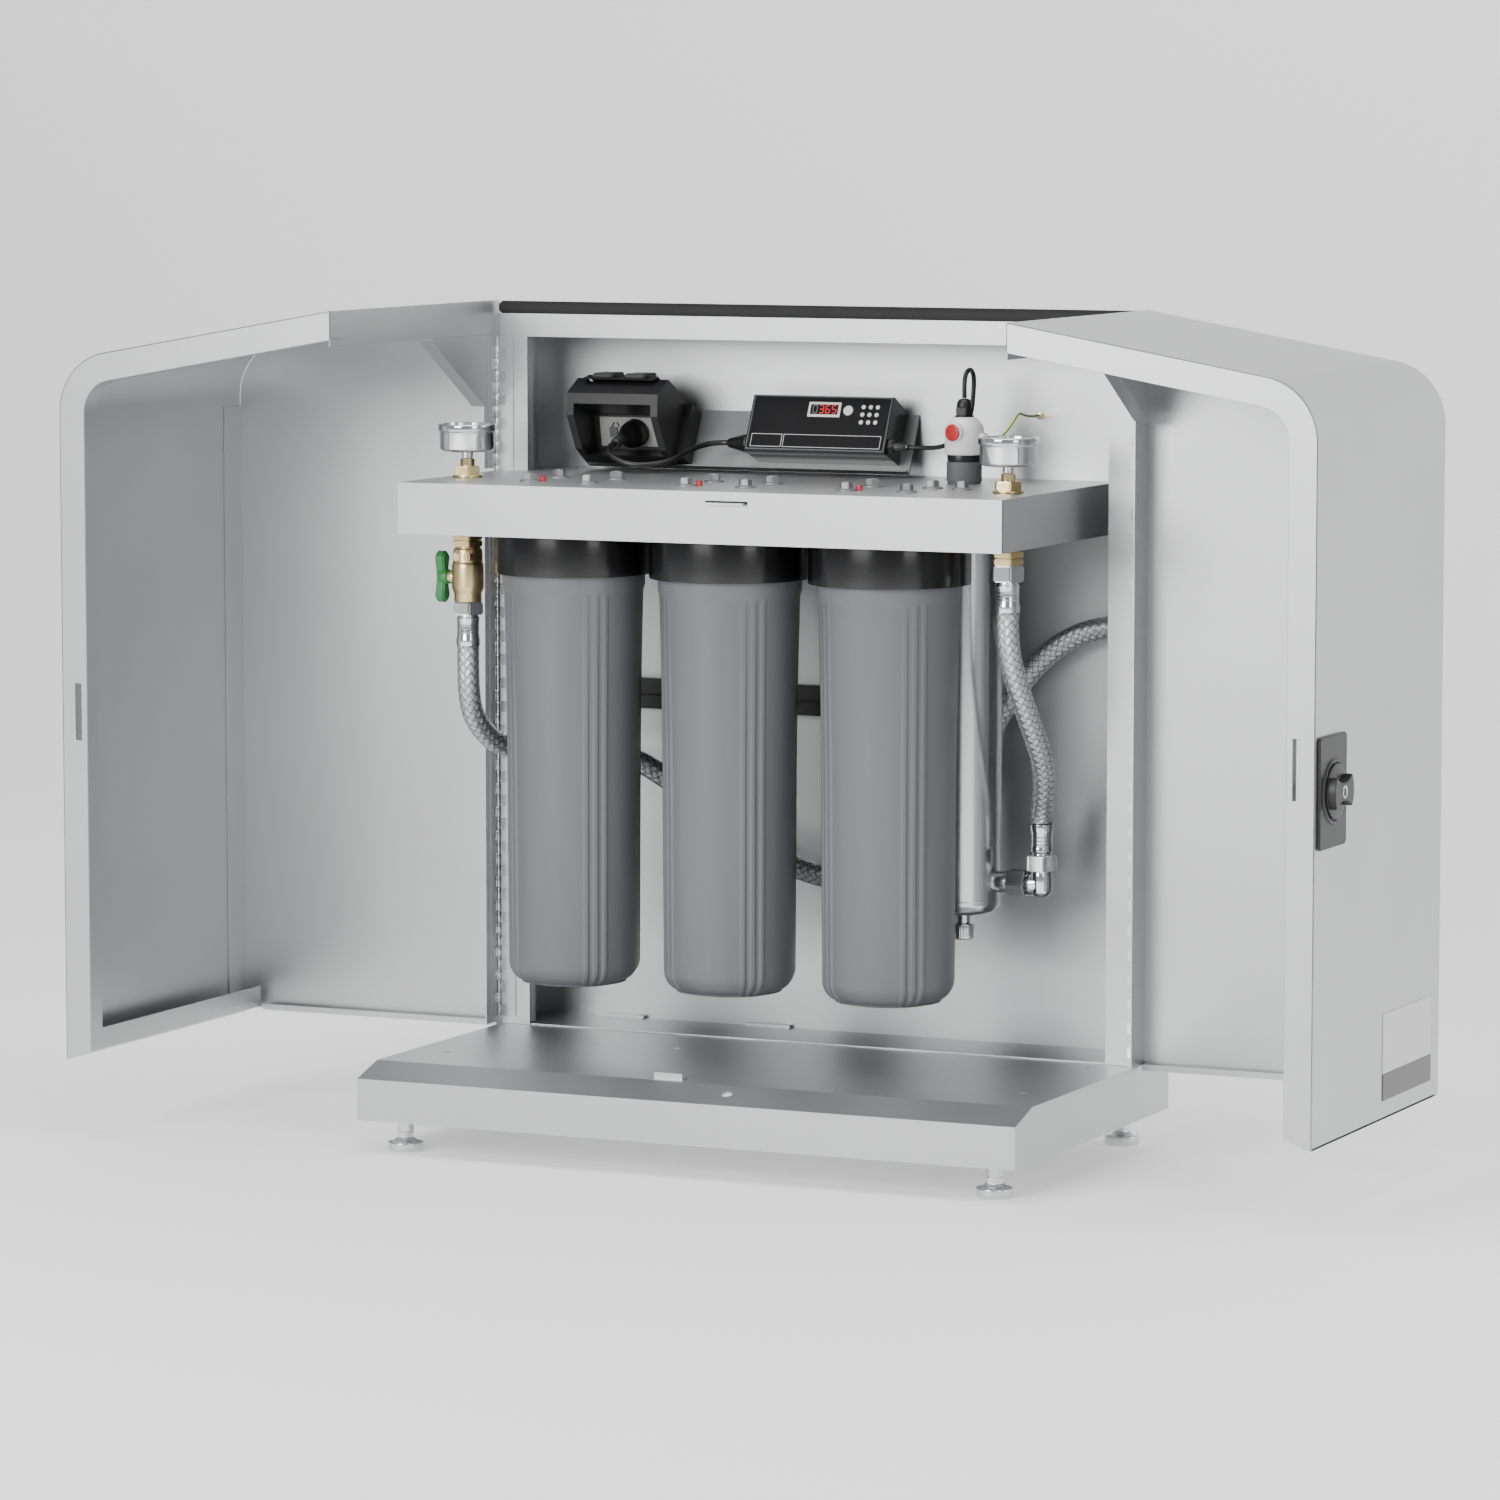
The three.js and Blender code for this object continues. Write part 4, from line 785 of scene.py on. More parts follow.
def lay_cord(name, node, points, diameter, maker, slot, sides, step):
    route = smooth_route(points, step)
    made = Shape().tube(route, diameter / 2, sides).piece(name, "cabinet", maker, slot, [node], fix=False)
    path = in_metres(route)
    length = sum((b - a).length for a, b in zip(path, path[1:]))
    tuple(path[0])


class CABINET_OT_hoses(bpy.types.Operator):
    """Lays the braided hoses and the two cables"""

    bl_idname = "cabinet.hoses"
    bl_label = "Hoses and cables"

    def execute(self, context):
        lay_cord("supply_hose_braid", "supply_hose", SUPPLY_ROUTE, 25.6, braid, "braided_steel",
                 28, 4)
        lay_cord("link_hose_braid", "link_hose", LINK_ROUTE, 25.6, braid, "braided_steel",
                 28, 4)
        lay_cord("mains_cable_sheath", "mains_cable", MAINS_ROUTE, 6.4, sheath, "cable_sheath",
                 14, 2.5)
        lay_cord("lamp_cable_sheath", "lamp_cable", LAMP_ROUTE, 5.4, sheath, "cable_sheath",
                 14, 2.5)
        return {"FINISHED"}


class CABINET_OT_stage(bpy.types.Operator):
    """Makes the pale sweep, the soft lights and the camera"""

    bl_idname = "cabinet.stage"
    bl_label = "Stage"

    def execute(self, context):
        scene = context.scene
        floor = bmesh.new()
        profile = [(-9, 0), (2.6, 0)] + arc(2.6, 1.6, 1.6, -math.pi / 2, 0, 16) + [(4.2, 7)]
        rows = [[floor.verts.new((x, y, z)) for x in (-9, 9)] for y, z in profile]
        for a, b in zip(rows, rows[1:]):
            face = floor.faces.new([a[0], a[1], b[1], b[0]])
            face.smooth = True
        data = bpy.data.meshes.new("sweep")
        floor.to_mesh(data)
        floor.free()
        sweep = bpy.data.objects.new("sweep", data)
        scene.collection.objects.link(sweep)
        paint = Surface("pale paint")
        data.materials.append(
            paint.set(
                Base_Color=(0.93, 0.93, 0.93), Roughness=0.7 + 0.1 * paint.noise(3),
                Emission_Color=(1.0, 1.0, 1.0), Emission_Strength=0.42,
            )
        )

        world = bpy.data.worlds.new("studio")
        world.use_nodes = True
        world.node_tree.nodes["Background"].inputs[0].default_value = (0.95, 0.96, 1, 1)
        world.node_tree.nodes["Background"].inputs[1].default_value = 0.34
        scene.world = world

        def softbox(name, place, target, width, height, power):
            lamp = bpy.data.lights.new(name, "AREA")
            lamp.shape = "RECTANGLE"
            lamp.size = width
            lamp.size_y = height
            lamp.energy = power
            made = bpy.data.objects.new(name, lamp)
            made.location = place
            made.rotation_mode = "QUATERNION"
            made.rotation_quaternion = (Vector(target) - Vector(place)).to_track_quat("-Z", "Y")
            scene.collection.objects.link(made)

        softbox("key", (-1.2, -4.4, 1.9), (0, 0, 0.5), 2.2, 1.8, 175)
        softbox("fill", (3.6, -2.6, 1.8), (0.2, 0, 0.5), 1.4, 2.2, 45)
        softbox("top", (0, -0.8, 3.8), (0, 0, 0.4), 3.4, 2.0, 95)
        softbox("side", (4.4, 0.6, 1.5), (0.7, 0, 0.5), 1.6, 2.6, 75)

        lens = bpy.data.cameras.new("camera")
        lens.sensor_width = 36
        lens.lens = 151.58
        lens.clip_end = 60
        camera = bpy.data.objects.new("camera", lens)
        turn, dip = math.radians(24.731), math.radians(6.03)
        ahead = Vector((-math.sin(turn) * math.cos(dip), math.cos(turn) * math.cos(dip), -math.sin(dip)))
        camera.location = (2.9863, -6.5025, 1.2170)
        camera.rotation_mode = "QUATERNION"
        camera.rotation_quaternion = ahead.to_track_quat("-Z", "Y")
        scene.collection.objects.link(camera)
        scene.camera = camera
        return {"FINISHED"}


def shifted(path, distance):
    """The (x, z) path moved to its right, with mitred corners."""
    moved = []
    for i, point in enumerate(path):
        here = Vector(point)
        into = here - Vector(path[i - 1]) if i else Vector(path[1]) - here
        out = Vector(path[i + 1]) - here if i + 1 < len(path) else into
        a = Vector((into.y, -into.x)).normalized()
        b = Vector((out.y, -out.x)).normalized()
        mitre = (a + b).normalized()
        moved.append(here + mitre * (distance / mitre.dot(b)))
    return moved


def folded(shape, path, offsets, y0, y1, filled=lambda i, j: True, last=None):
    """A sheet that follows the path between the offsets, carried from y0 to y1."""
    columns = [shifted(path, d) for d in offsets]
    if path[0][0] < path[1][0]:
        rise = (path[1][1] - path[0][1]) / (path[1][0] - path[0][0])
        for column in columns:
            column[0] = Vector((path[0][0], column[0].y + rise * (path[0][0] - column[0].x)))
    if last:
        for column, d in zip(columns, offsets):
            column[-1] = Vector(last(d))
    lattice = [
        [(Vector((c[i].x, y0, c[i].y)), Vector((c[i].x, y1, c[i].y))) for c in columns]
        for i in range(len(path))
    ]
    shape.cells(lattice, filled)


class CABINET_OT_doors(bpy.types.Operator):
    """Builds both door skins with their rounded corner, folded edges and slots"""

    bl_idname = "cabinet.doors"
    bl_label = "Doors"

    def execute(self, context):
        face, back_x = DOOR_HIGH.x, DOOR_LOW.x
        top, bottom, front = DOOR_HIGH.z, DOOR_LOW.z, DOOR_LOW.y
        rear = DOOR_HIGH.y
        slope = math.radians(10)
        centre_x = face - 70
        centre_z = top - (centre_x + 70 * math.sin(slope) - back_x) * math.tan(slope) - 70 * math.cos(slope)
        corner = arc(centre_x, centre_z, 70, math.pi / 2 - slope, 0, 28)

        def sill(inset):
            return (face - inset, bottom + inset / 3)

        for side, hand in ((1, "right"), (-1, "left")):
            pivot = (KNOB[0].z + KNOB[1].z) / 2
            slot_low, slot_high = pivot - 7, pivot + 59
            path = [(back_x, top)] + corner + [(face, slot_high), (face, slot_low), (face, bottom)]
            skin = Shape()
            folded(skin, [(back_x, top - 40)] + path, (0, 1.5), front, rear)
            folded(skin, [(face, bottom + 3), (face, bottom), sill(30), (face - 30, bottom + 35)],
                   (0, 1.5), front + 1.5, rear - 12)
            slot_row = len(path) - 3
            folded(skin, path, (0, 16.5, 25, 32), front, front + 1.5,
                   lambda i, j: not (i == slot_row and j == 1), sill)
            folded(skin, path, (30.5, 32), front + 1.5, front + 28, last=sill)
            skin.mirrored(side).piece(
                f"{hand}_door_shell", f"{hand}_door", stainless, "stainless_steel",
                [f"{hand}_door_skin"], edge=sizes().edge * 0.8,
            )
        return {"FINISHED"}


class CABINET_OT_sheet_metal(bpy.types.Operator):
    """Finishes the folded sheet parts and adds the seal, rail, tabs and label plate"""

    bl_idname = "cabinet.sheet_metal"
    bl_label = "Sheet metal"

    def execute(self, context):
        edge = sizes().edge
        for node in ("base_tray", "back_box", "door_frame", "manifold_bracket", "left_door_side",
                     "right_door_side"):
            dress(node, stainless, edge)
        # The console plate gets the stainless with painted shade.
        dress("console_plate", dark_steel, edge)
        for node in ("left_hinge_pin", "right_hinge_pin", "latch_rod"):
            dress(node, polished_steel, smooth=True)
        seal = Shape()
        half = box_mm("back_box")[1].x
        seal.block((-half, 361.6, CABINET_TOP - 1), (half, 371.5, CABINET_TOP + 14.5), bevel=2)
        seal.block((-half, 359.8, CABINET_TOP + 2), (half, 363, CABINET_TOP + 12), bevel=1.2)
        seal.piece("top_seal", "cabinet", seal_rubber, "cable_sheath")
        rail = Shape()
        rail.block((-300, BACK - 22, 478), (70, BACK - 0.3, 494), bevel=1)
        rail.block((-300, BACK - 14, 494), (70, BACK - 0.3, 513), bevel=1)
        rail.piece("back_rail", "cabinet", dark_texture, "dark_plastic")
        # A thin black strip on the ledge's front stands for a slit: painted shade where the slit's inside is.
        slit = Shape()
        slit.block((-14, 101.6, SHELF - 13.6), (38, 102.4, SHELF - 10.2), bevel=0.2)
        slit.piece("ledge_slit_painted_shade", "cabinet", seal_rubber, "dark_plastic")
        tabs = Shape()
        for x in (-289, -97):
            tabs.block((x - 29, BACK - 10, TRAY_TOP + 1.8), (x + 29, BACK - 0.2, TRAY_TOP + 5.5), bevel=0.8)
        tabs.piece("back_tabs", "cabinet", stainless, "stainless_steel")
        x = DOOR_HIGH.x
        label = Shape()
        label.block((x, 182, 142), (x + 0.8, 345, 208), bevel=0.25)
        label.piece("label_plate_upper", "right_door", label_silver, "stainless_steel")
        base = Shape()
        base.block((x, 182, 112), (x + 0.8, 345, 141.7), bevel=0.25)
        base.piece("label_plate_lower", "right_door", black_gloss, "black_gloss_plastic")
        return {"FINISHED"}


class CABINET_OT_hinges(bpy.types.Operator):
    """Builds the short knuckles of both full-length hinges"""

    bl_idname = "cabinet.hinges"
    bl_label = "Hinges"

    def execute(self, context):
        low, high = box_mm("right_hinge_pin")
        length = sizes().knuckle / MM
        count = int((high.z - low.z) / length)
        for side, hand in ((1, "right"), (-1, "left")):
            for first, body in ((0, "cabinet"), (1, f"{hand}_door")):
                leaf = Shape()
                for i in range(first, count, 2):
                    z = low.z + i * length
                    rise = upright(Vector((side * HINGE.x, HINGE.y, 0)), z)
                    leaf.turn([(0, 0.5), (3, 0.5), (3, length - 0.5), (0, length - 0.5)], rise, 14, 0.4)
                    if body == "cabinet":
                        x0, x1 = side * (HINGE.x - 12), side * (HINGE.x - 1)
                        leaf.block((min(x0, x1), HINGE.y + 0.2, z + 0.6), (max(x0, x1), HINGE.y + 1.8, z + length - 0.6),
                                   bevel=0.2, segments=1)
                    else:
                        x0, x1 = side * (HINGE.x + 1.2), side * (HINGE.x + 2.8)
                        leaf.block((min(x0, x1), HINGE.y - 10, z + 0.6), (max(x0, x1), HINGE.y, z + length - 0.6),
                                   bevel=0.2, segments=1)
                leaf.piece(f"{hand}_hinge_knuckles_{body}", body, polished_steel, "stainless_steel")
        return {"FINISHED"}


class CABINET_OT_latch(bpy.types.Operator):
    """Builds the latch plate with its dish, the winged knob and the key cylinder"""

    bl_idname = "cabinet.latch"
    bl_label = "Latch"

    def execute(self, context):
        low, high = box_mm("latch_plate")
        y, z = (low.y + high.y) / 2, (low.z + high.z) / 2
        out = facing((1, 0, 0), (low.x, y, z))
        half_w, half_h = (high.y - low.y) / 2, (high.z - low.z) / 2
        outline = []
        for cu, cv, start in ((half_w - 5, half_h - 5, 0), (5 - half_w, half_h - 5, 90),
                              (5 - half_w, 5 - half_h, 180), (half_w - 5, 5 - half_h, 270)):
            outline += arc(cu, cv, 5, math.radians(start), math.radians(start + 90), 5)
        frame_turn = Matrix(((0, 0, 1, low.x), (1, 0, 0, y), (0, 1, 0, z), (0, 0, 0, 1)))
        plate = Shape()
        plate.prism(outline, 0, 4, frame_turn, bevel=1.2, segments=3)
        plate.turn([(31.5, 3.5), (31.5, 6), (34.5, 6), (36, 3.5)], frame_turn, 64, 0.6)
        plate.piece("latch_escutcheon", "right_door", dark_texture, "dark_plastic", ["latch_plate"])
        knob = Shape()
        base = high.x + 0.9 - low.x
        knob.disc(30, base, base + 3, frame_turn, 64, 0.8)
        wing = []
        for i in range(65):
            a = 2 * math.pi * i / 64
            u, v = 30 * math.cos(a), 30 * math.sin(a)
            waist = 9.5 + 13 * min(1, abs(u) / 30) ** 2
            wing.append((u, max(-waist, min(waist, v))))
        knob.prism(wing[:-1], base + 2.5, KNOB[1].x - low.x, frame_turn, bevel=1.6, segments=3)
        knob.disc(6, -(low.x - KNOB[0].x), base, frame_turn, 24)
        knob.block((-8, -4, KNOB[0].x - low.x), (16, 4, KNOB[0].x - low.x + 3), frame_turn, 0.5)
        knob.piece("latch_grip", "latch_knob", dark_texture, "dark_plastic", ["latch_knob"])
        key = Shape()
        key_turn = Matrix(((0, 0, 1, KEY.x), (1, 0, 0, KEY.y), (0, 1, 0, KEY.z), (0, 0, 0, 1)))
        tip = box_mm("key_cylinder")[1].x - KEY.x
        key.turn([(0, -3), (6.8, -3), (6.8, tip + 0.1), (5.4, tip + 0.1), (5.1, tip - 0.8), (0, tip - 0.8)],
                 key_turn, 32, 0.25)
        key.piece("key_barrel", "key_cylinder", chrome, "chrome_plate", ["key_cylinder"])
        # A thin black plate on the barrel's end stands for the keyway: painted shade where the slot's inside is.
        slot = Shape()
        slot.block((-0.6, -3.4, tip - 0.9), (0.6, 3.4, tip - 0.55), key_turn, 0.15)
        slot.piece("key_slot_painted_shade", "key_cylinder", seal_rubber, "dark_plastic")
        return {"FINISHED"}


class CABINET_OT_housings(bpy.types.Operator):
    """Builds the filter heads, the ribbed sumps, the shelf bolts and the relief buttons"""

    bl_idname = "cabinet.housings"
    bl_label = "Filter housings"

    def execute(self, context):
        rib = sizes().rib_height / MM
        low, high = box_mm("housing_sump_1")
        base, rim = low.z, high.z
        ring = rim - 30
        angles = sorted(
            {round(i * 360 / 72, 3) for i in range(72)}
            | {round((45 + 90 * q + k * 0.75) % 360, 3) for q in range(4) for k in range(-18, 19)}
        )

        def ribbed(angle, height):
            from_group = (angle + 45) % 90 - 45
            from_group = ((angle - 45 + 45) % 90) - 45
            lift = 0.0
            for at in (-8.6, 0, 8.6):
                off = abs(from_group - at)
                lift = max(lift, 1 if off < 1.6 else max(0, 1 - (off - 1.6) / 1.1))
            fade = min(1, max(0, (ring - 24 - height) / 8))
            return lift * fade * rib

        profile = [(0, base + 3), (42, base + 3), (46, base), (50, base), (60, base + 2)]
        profile += arc(50.5, base + 26, 24, -math.pi / 2 + 0.35, 0, 8)
        profile += [(76, ring - 200), (80.3, ring - 22), (80.8, ring - 18), (82.3, ring - 14),
                    (82.5, ring - 2), (82.5, ring - 0.4), (81, ring + 0.5), (81, rim - 1), (76, rim - 1),
                    (75, ring), (68, base + 34), (58, base + 10), (0, base + 9)]
        for number, axis in enumerate(HOUSINGS, 1):
            cup = Shape()
            rows = []
            for index, (r, z) in enumerate(profile):
                if r == 0:
                    rows.append([cup.mesh.verts.new((axis.x, axis.y, z))])
                    continue
                row = []
                for angle in angles:
                    outside = index < len(profile) - 8 and r > 45
                    out = r + (ribbed(angle, z) if outside else 0)
                    a = math.radians(angle)
                    row.append(cup.mesh.verts.new((axis.x + out * math.cos(a), axis.y + out * math.sin(a), z)))
                rows.append(row)
            cup._grid(rows, False, True)
            cup.piece(f"sump_{number}_shell", f"sump_{number}", grey_sump, "grey_plastic",
                      [f"housing_sump_{number}"], sharp=0.9)
            self.head(number, axis, ring)
            dress(f"filter_cartridge_{number}", pleats)
            dress(f"relief_button_{number}", red_gloss, 0.0005, smooth=True)
            bolts = Shape()
            for dx in (-37, 37):
                for dy in (-37, 37):
                    self.bolt(bolts, axis.x + dx, axis.y + dy)
            if number == 3:
                self.bolt(bolts, axis.x + 74, axis.y + 34)
            # The shelf bolts get the stainless with painted shade.
            bolts.piece(f"shelf_bolts_{number}", "cabinet", dark_steel, "dark_steel")
        return {"FINISHED"}

    def head(self, number, axis, ring):
        stand = upright(axis)
        top = SHELF - 2.3
        head = Shape()
        head.turn([(0, top), (56, top), (58, top - 17), (78, top - 33), (88, top - 51), (92, top - 58),
                   (92, ring + 0.2), (91, ring), (84.8, ring), (84.8, ring + 33), (0, ring + 33)],
                  stand, 96, 1.2)
        for way in (-1, 1):
            port = facing((way, 0, 0), (axis.x, axis.y, 722))
            head.turn([(17, 50), (26, 50), (26, 93.8), (24.5, 94), (17, 94)], port, 40, 1.2)
        if number < 3:
            port = facing((1, 0, 0), (axis.x, axis.y, 722))
            head.turn([(16, 93), (20, 93), (20, 104.2), (16, 104.2)], port, 32, 0.4)
        for i in range(24):
            a = 2 * math.pi * (i + 0.5) / 24
            fin = stand @ Matrix.Rotation(a, 4, "Z")
            head.block((60, -1.2, top - 52), (86, 1.2, top - 38), fin, 0.5)
        head.piece(f"head_{number}_casting", "cabinet", black_gloss, "black_gloss_plastic",
                   [f"housing_head_{number}"])

    def bolt(self, shape, x, y):
        stand = Matrix.Translation(Vector((x, y, SHELF)))
        shape.turn([(0, 0), (12, 0), (12, 1.2), (8.8, 2.6), (0, 2.6)], stand, 28, 0.3)
        shape.hexagon(13.5, 1.8, 9.2, stand @ Matrix.Rotation(x * 0.37 + y, 4, "Z"), 0.7)
        shape.turn([(3.2, 9), (5.2, 9), (4.9, 9.6), (3.4, 9.6)], stand, 20, 0.1)


class CABINET_OT_gauges(bpy.types.Operator):
    """Builds the gauges with their dials, needles and lenses"""

    bl_idname = "cabinet.gauges"
    bl_label = "Gauges"

    def execute(self, context):
        for name, centre in (("inlet", INLET), ("outlet", OUTLET)):
            base = box_mm(f"{name}_gauge_case")[0].z
            stand = upright(centre, base)
            case = Shape()
            case.turn([(0, 0), (6.4, 0), (6.4, 7), (9, 8), (28, 8), (32, 11), (32, 30.5), (33, 31.5),
                       (34, 32.5), (34, 38.5), (33, 40), (30.8, 40), (30.5, 34), (0, 34)],
                      stand, 72, 0.8)
            case.piece(f"{name}_gauge_bell", "cabinet", chrome, "chrome_plate", [f"{name}_gauge_case"])
            dial = Shape()
            dial.disc(30.2, 33.9, 34.4, stand, 64, 0.1)
            dial.piece(f"{name}_gauge_dial", "cabinet", dial_white, "white_plastic")
            marks = Shape()
            for i in range(41):
                a = math.radians(-225 + 270 * (1 - i / 40) + 180)
                long = i % 8 == 0
                tick = stand @ Matrix.Rotation(math.radians(225 - 270 * i / 40), 4, "Z")
                marks.block((24 if long else 26, -0.35 if long else -0.18, 34.35),
                            (28.5, 0.35 if long else 0.18, 34.6), tick, 0)
            self.numbers(marks, stand)
            marks.piece(f"{name}_gauge_marks", "cabinet", seal_rubber, "black_gloss_plastic", sharp=0.3)
            dress(f"{name}_gauge_needle", black_gloss, 0.0002)
            lens = Shape()
            lens.disc(30.4, 38.3, 39.3, stand, 64, 0.2)
            lens.piece(f"{name}_gauge_lens", "cabinet", clear_glass, "quartz_glass")
        return {"FINISHED"}

    def numbers(self, marks, stand):
        for i in range(6):
            a = math.radians(225 - 54 * i)
            text = bpy.data.curves.new("figure", "FONT")
            text.body = str(2 * i)
            text.size = 6.2
            text.align_x = "CENTER"
            text.align_y = "CENTER"
            holder = bpy.data.objects.new("figure", text)
            bpy.context.scene.collection.objects.link(holder)
            bpy.context.view_layer.update()
            data = bpy.data.meshes.new_from_object(holder)
            data.transform(stand @ Matrix.Translation(Vector((20 * math.cos(a), 20 * math.sin(a), 34.5))))
            marks.mesh.from_mesh(data)
            bpy.data.objects.remove(holder)
            bpy.data.meshes.remove(data)


class CABINET_OT_pipework(bpy.types.Operator):
    """Builds the brass tees, the ball valve, the hose ends and the bulkhead fitting"""

    bl_idname = "cabinet.pipework"
    bl_label = "Pipework"

    def execute(self, context):
        for name, centre, way in (("inlet", INLET, 1), ("outlet", OUTLET, -1)):
            stand = upright(centre)
            tee = Shape()
            low = SHELF - 80
            tee.turn([(9, low), (13, low), (13, SHELF + 4), (9, SHELF + 4)], stand, 40, 0.5)
            tee.hexagon(33, low, low + 7, stand, 1)
            tee.hexagon(33, low + 8, low + 15, stand, 1)
            tee.turn([(13, low + 24), (18.5, low + 26), (18.5, low + 54), (13, low + 58)], stand, 40, 1.5)
            tee.disc(17.5, SHELF + 0.3, SHELF + 2.6, stand, 40, 0.4)
            tee.hexagon(28, SHELF + 2.6, SHELF + 13, stand, 1.2)
            tee.hexagon(15, SHELF + 13, SHELF + 21.8, stand @ Matrix.Rotation(0.4, 4, "Z"), 0.8)
            tee.turn([(0, SHELF + 12), (8, SHELF + 12), (8, SHELF + 14), (0, SHELF + 14)], stand, 24, 0.3)
            arm_end = box_mm(f"{name}_tee")
            reach = (arm_end[1].x - centre.x) if way > 0 else (centre.x - arm_end[0].x)
            arm = facing((way, 0, 0), (centre.x, centre.y, 722))
            tee.turn([(10, 5), (17, 5), (17, reach - 8), (15.5, reach - 6), (15.5, reach), (10, reach)],
                     arm, 36, 0.5)
            tee.piece(f"{name}_tee_fitting", "cabinet", brass, "brass", [f"{name}_tee"])
        self.valve()
        self.hose_end("inlet_hose_end", INLET, 15, 36, 1)
        self.hose_end("outlet_hose_end", OUTLET, 19, 34, 1)
        self.hose_end("link_hose_low_end", ELBOW, 19, 35, -1)
        low, high = box_mm("supply_fitting")
        across = facing((1, 0, 0), (low.x, (low.y + high.y) / 2, (low.z + high.z) / 2))
        tail = Shape()
        tail.turn([(8, 0), (14, 0), (14, 3), (13, 5), (13, 10), (14, 12), (14, 14), (8, 14)], across, 36, 0.5)
        tail.hexagon(34, 14, 22.5, across, 1.4)
        tail.turn([(8, 22), (12, 22), (12, high.x - low.x), (8, high.x - low.x)], across, 36, 0.5)
        tail.piece("supply_bulkhead", "cabinet", brass, "brass", ["supply_fitting"])
        elbow = Shape()
        low, high = box_mm("uv_elbow")
        z = low.z + 14
        stand = upright(ELBOW)
        elbow.turn([(0, z - 14), (9, z - 14), (13, z - 9), (13.6, z), (13, z + 9), (12.4, z + 15), (8, z + 15)],
                   stand, 40, 1)
        elbow.turn([(8, 2), (13.6, 2), (13.6, 10), (14, 10), (14, ELBOW.x - low.x - 0.2), (8, ELBOW.x - low.x - 0.2)],
                   facing((-1, 0, 0), (ELBOW.x, ELBOW.y, z)), 36, 0.6)
        elbow.piece("uv_inlet_elbow", "cabinet", chrome, "brass", ["uv_elbow"])
        return {"FINISHED"}

    def valve(self):
        low, high = box_mm("valve_body")
        top = high.z
        stand = upright(INLET)
        body = Shape()
        body.turn([(8, top), (15, top), (15, top - 2), (17, top - 3), (17, top - 18), (18.2, top - 20),
                   (18.7, top - 24), (18.7, top - 47), (17.6, top - 51), (16, top - 54), (16, low.z),
                   (8, low.z)], stand, 44, 0.5)
        body.hexagon(33.5, top - 17, top - 6, stand, 1.5)
        body.turn([(3.4, 15), (8, 15), (8, 24), (3.4, 24)], facing((-1, 0, 0), (INLET.x, INLET.y, top - 36)),
                  28, 0.6)
        body.piece("ball_valve_body", "cabinet", brass, "brass", ["valve_body"])
        h_low, h_high = box_mm("valve_handle")
        z = (h_low.z + h_high.z) / 2
        y = INLET.y
        out = Matrix(((0, 0, 1, h_low.x), (1, 0, 0, y), (0, 1, 0, z), (0, 0, 0, 1)))
        grip = Shape()
        outline = []
        for i in range(48):
            a = 2 * math.pi * i / 48
            v = 30 * math.sin(a)
            waist = 5.2 + 4.4 * min(1, abs(v) / 22) ** 1.5
            outline.append((max(-waist, min(waist, 14 * math.cos(a))), v))
        grip.prism(outline, 0, 11.5, out, bevel=1.8, segments=3)
        grip.disc(8.8, 4, 14.6, out, 32, 1)
        grip.disc(3, 10, h_high.x - h_low.x, out, 20)
        grip.piece("butterfly_grip", "valve_handle", green_dip, "green_plastic", ["valve_handle"])
        nut = Shape()
        nut.hexagon(8, -0.2, 1.4, out, 0.5)
        nut.piece("butterfly_nut", "valve_handle", chrome, "chrome_plate")

    def hose_end(self, node, centre, nut, crimp, way):
        low, high = box_mm(node)
        start = high.z if way > 0 else low.z
        stand = facing((0, 0, -way), (centre.x, centre.y, start))
        end = Shape()
        end.hexagon(34, 0, nut, stand, 1.6)
        end.turn([(0, nut - 1), (12, nut - 1), (12, nut + 2), (13.6, nut + 4), (13.2, nut + 8), (12.9, nut + 9),
                  (12.9, nut + crimp - 11), (13.4, nut + crimp - 9), (14, nut + crimp - 7), (14, nut + crimp),
                  (13.2, nut + crimp), (0, nut + crimp)], stand, 44, 0.5)
        for i in range(3):
            z = nut + crimp * 0.35 + i * 4
            end.turn([(12.6, z - 1), (13.5, z), (12.6, z + 1)], stand, 44, 0.2)
        end.piece(f"{node}_ferrule", "cabinet", chrome, "chrome_plate", [node])


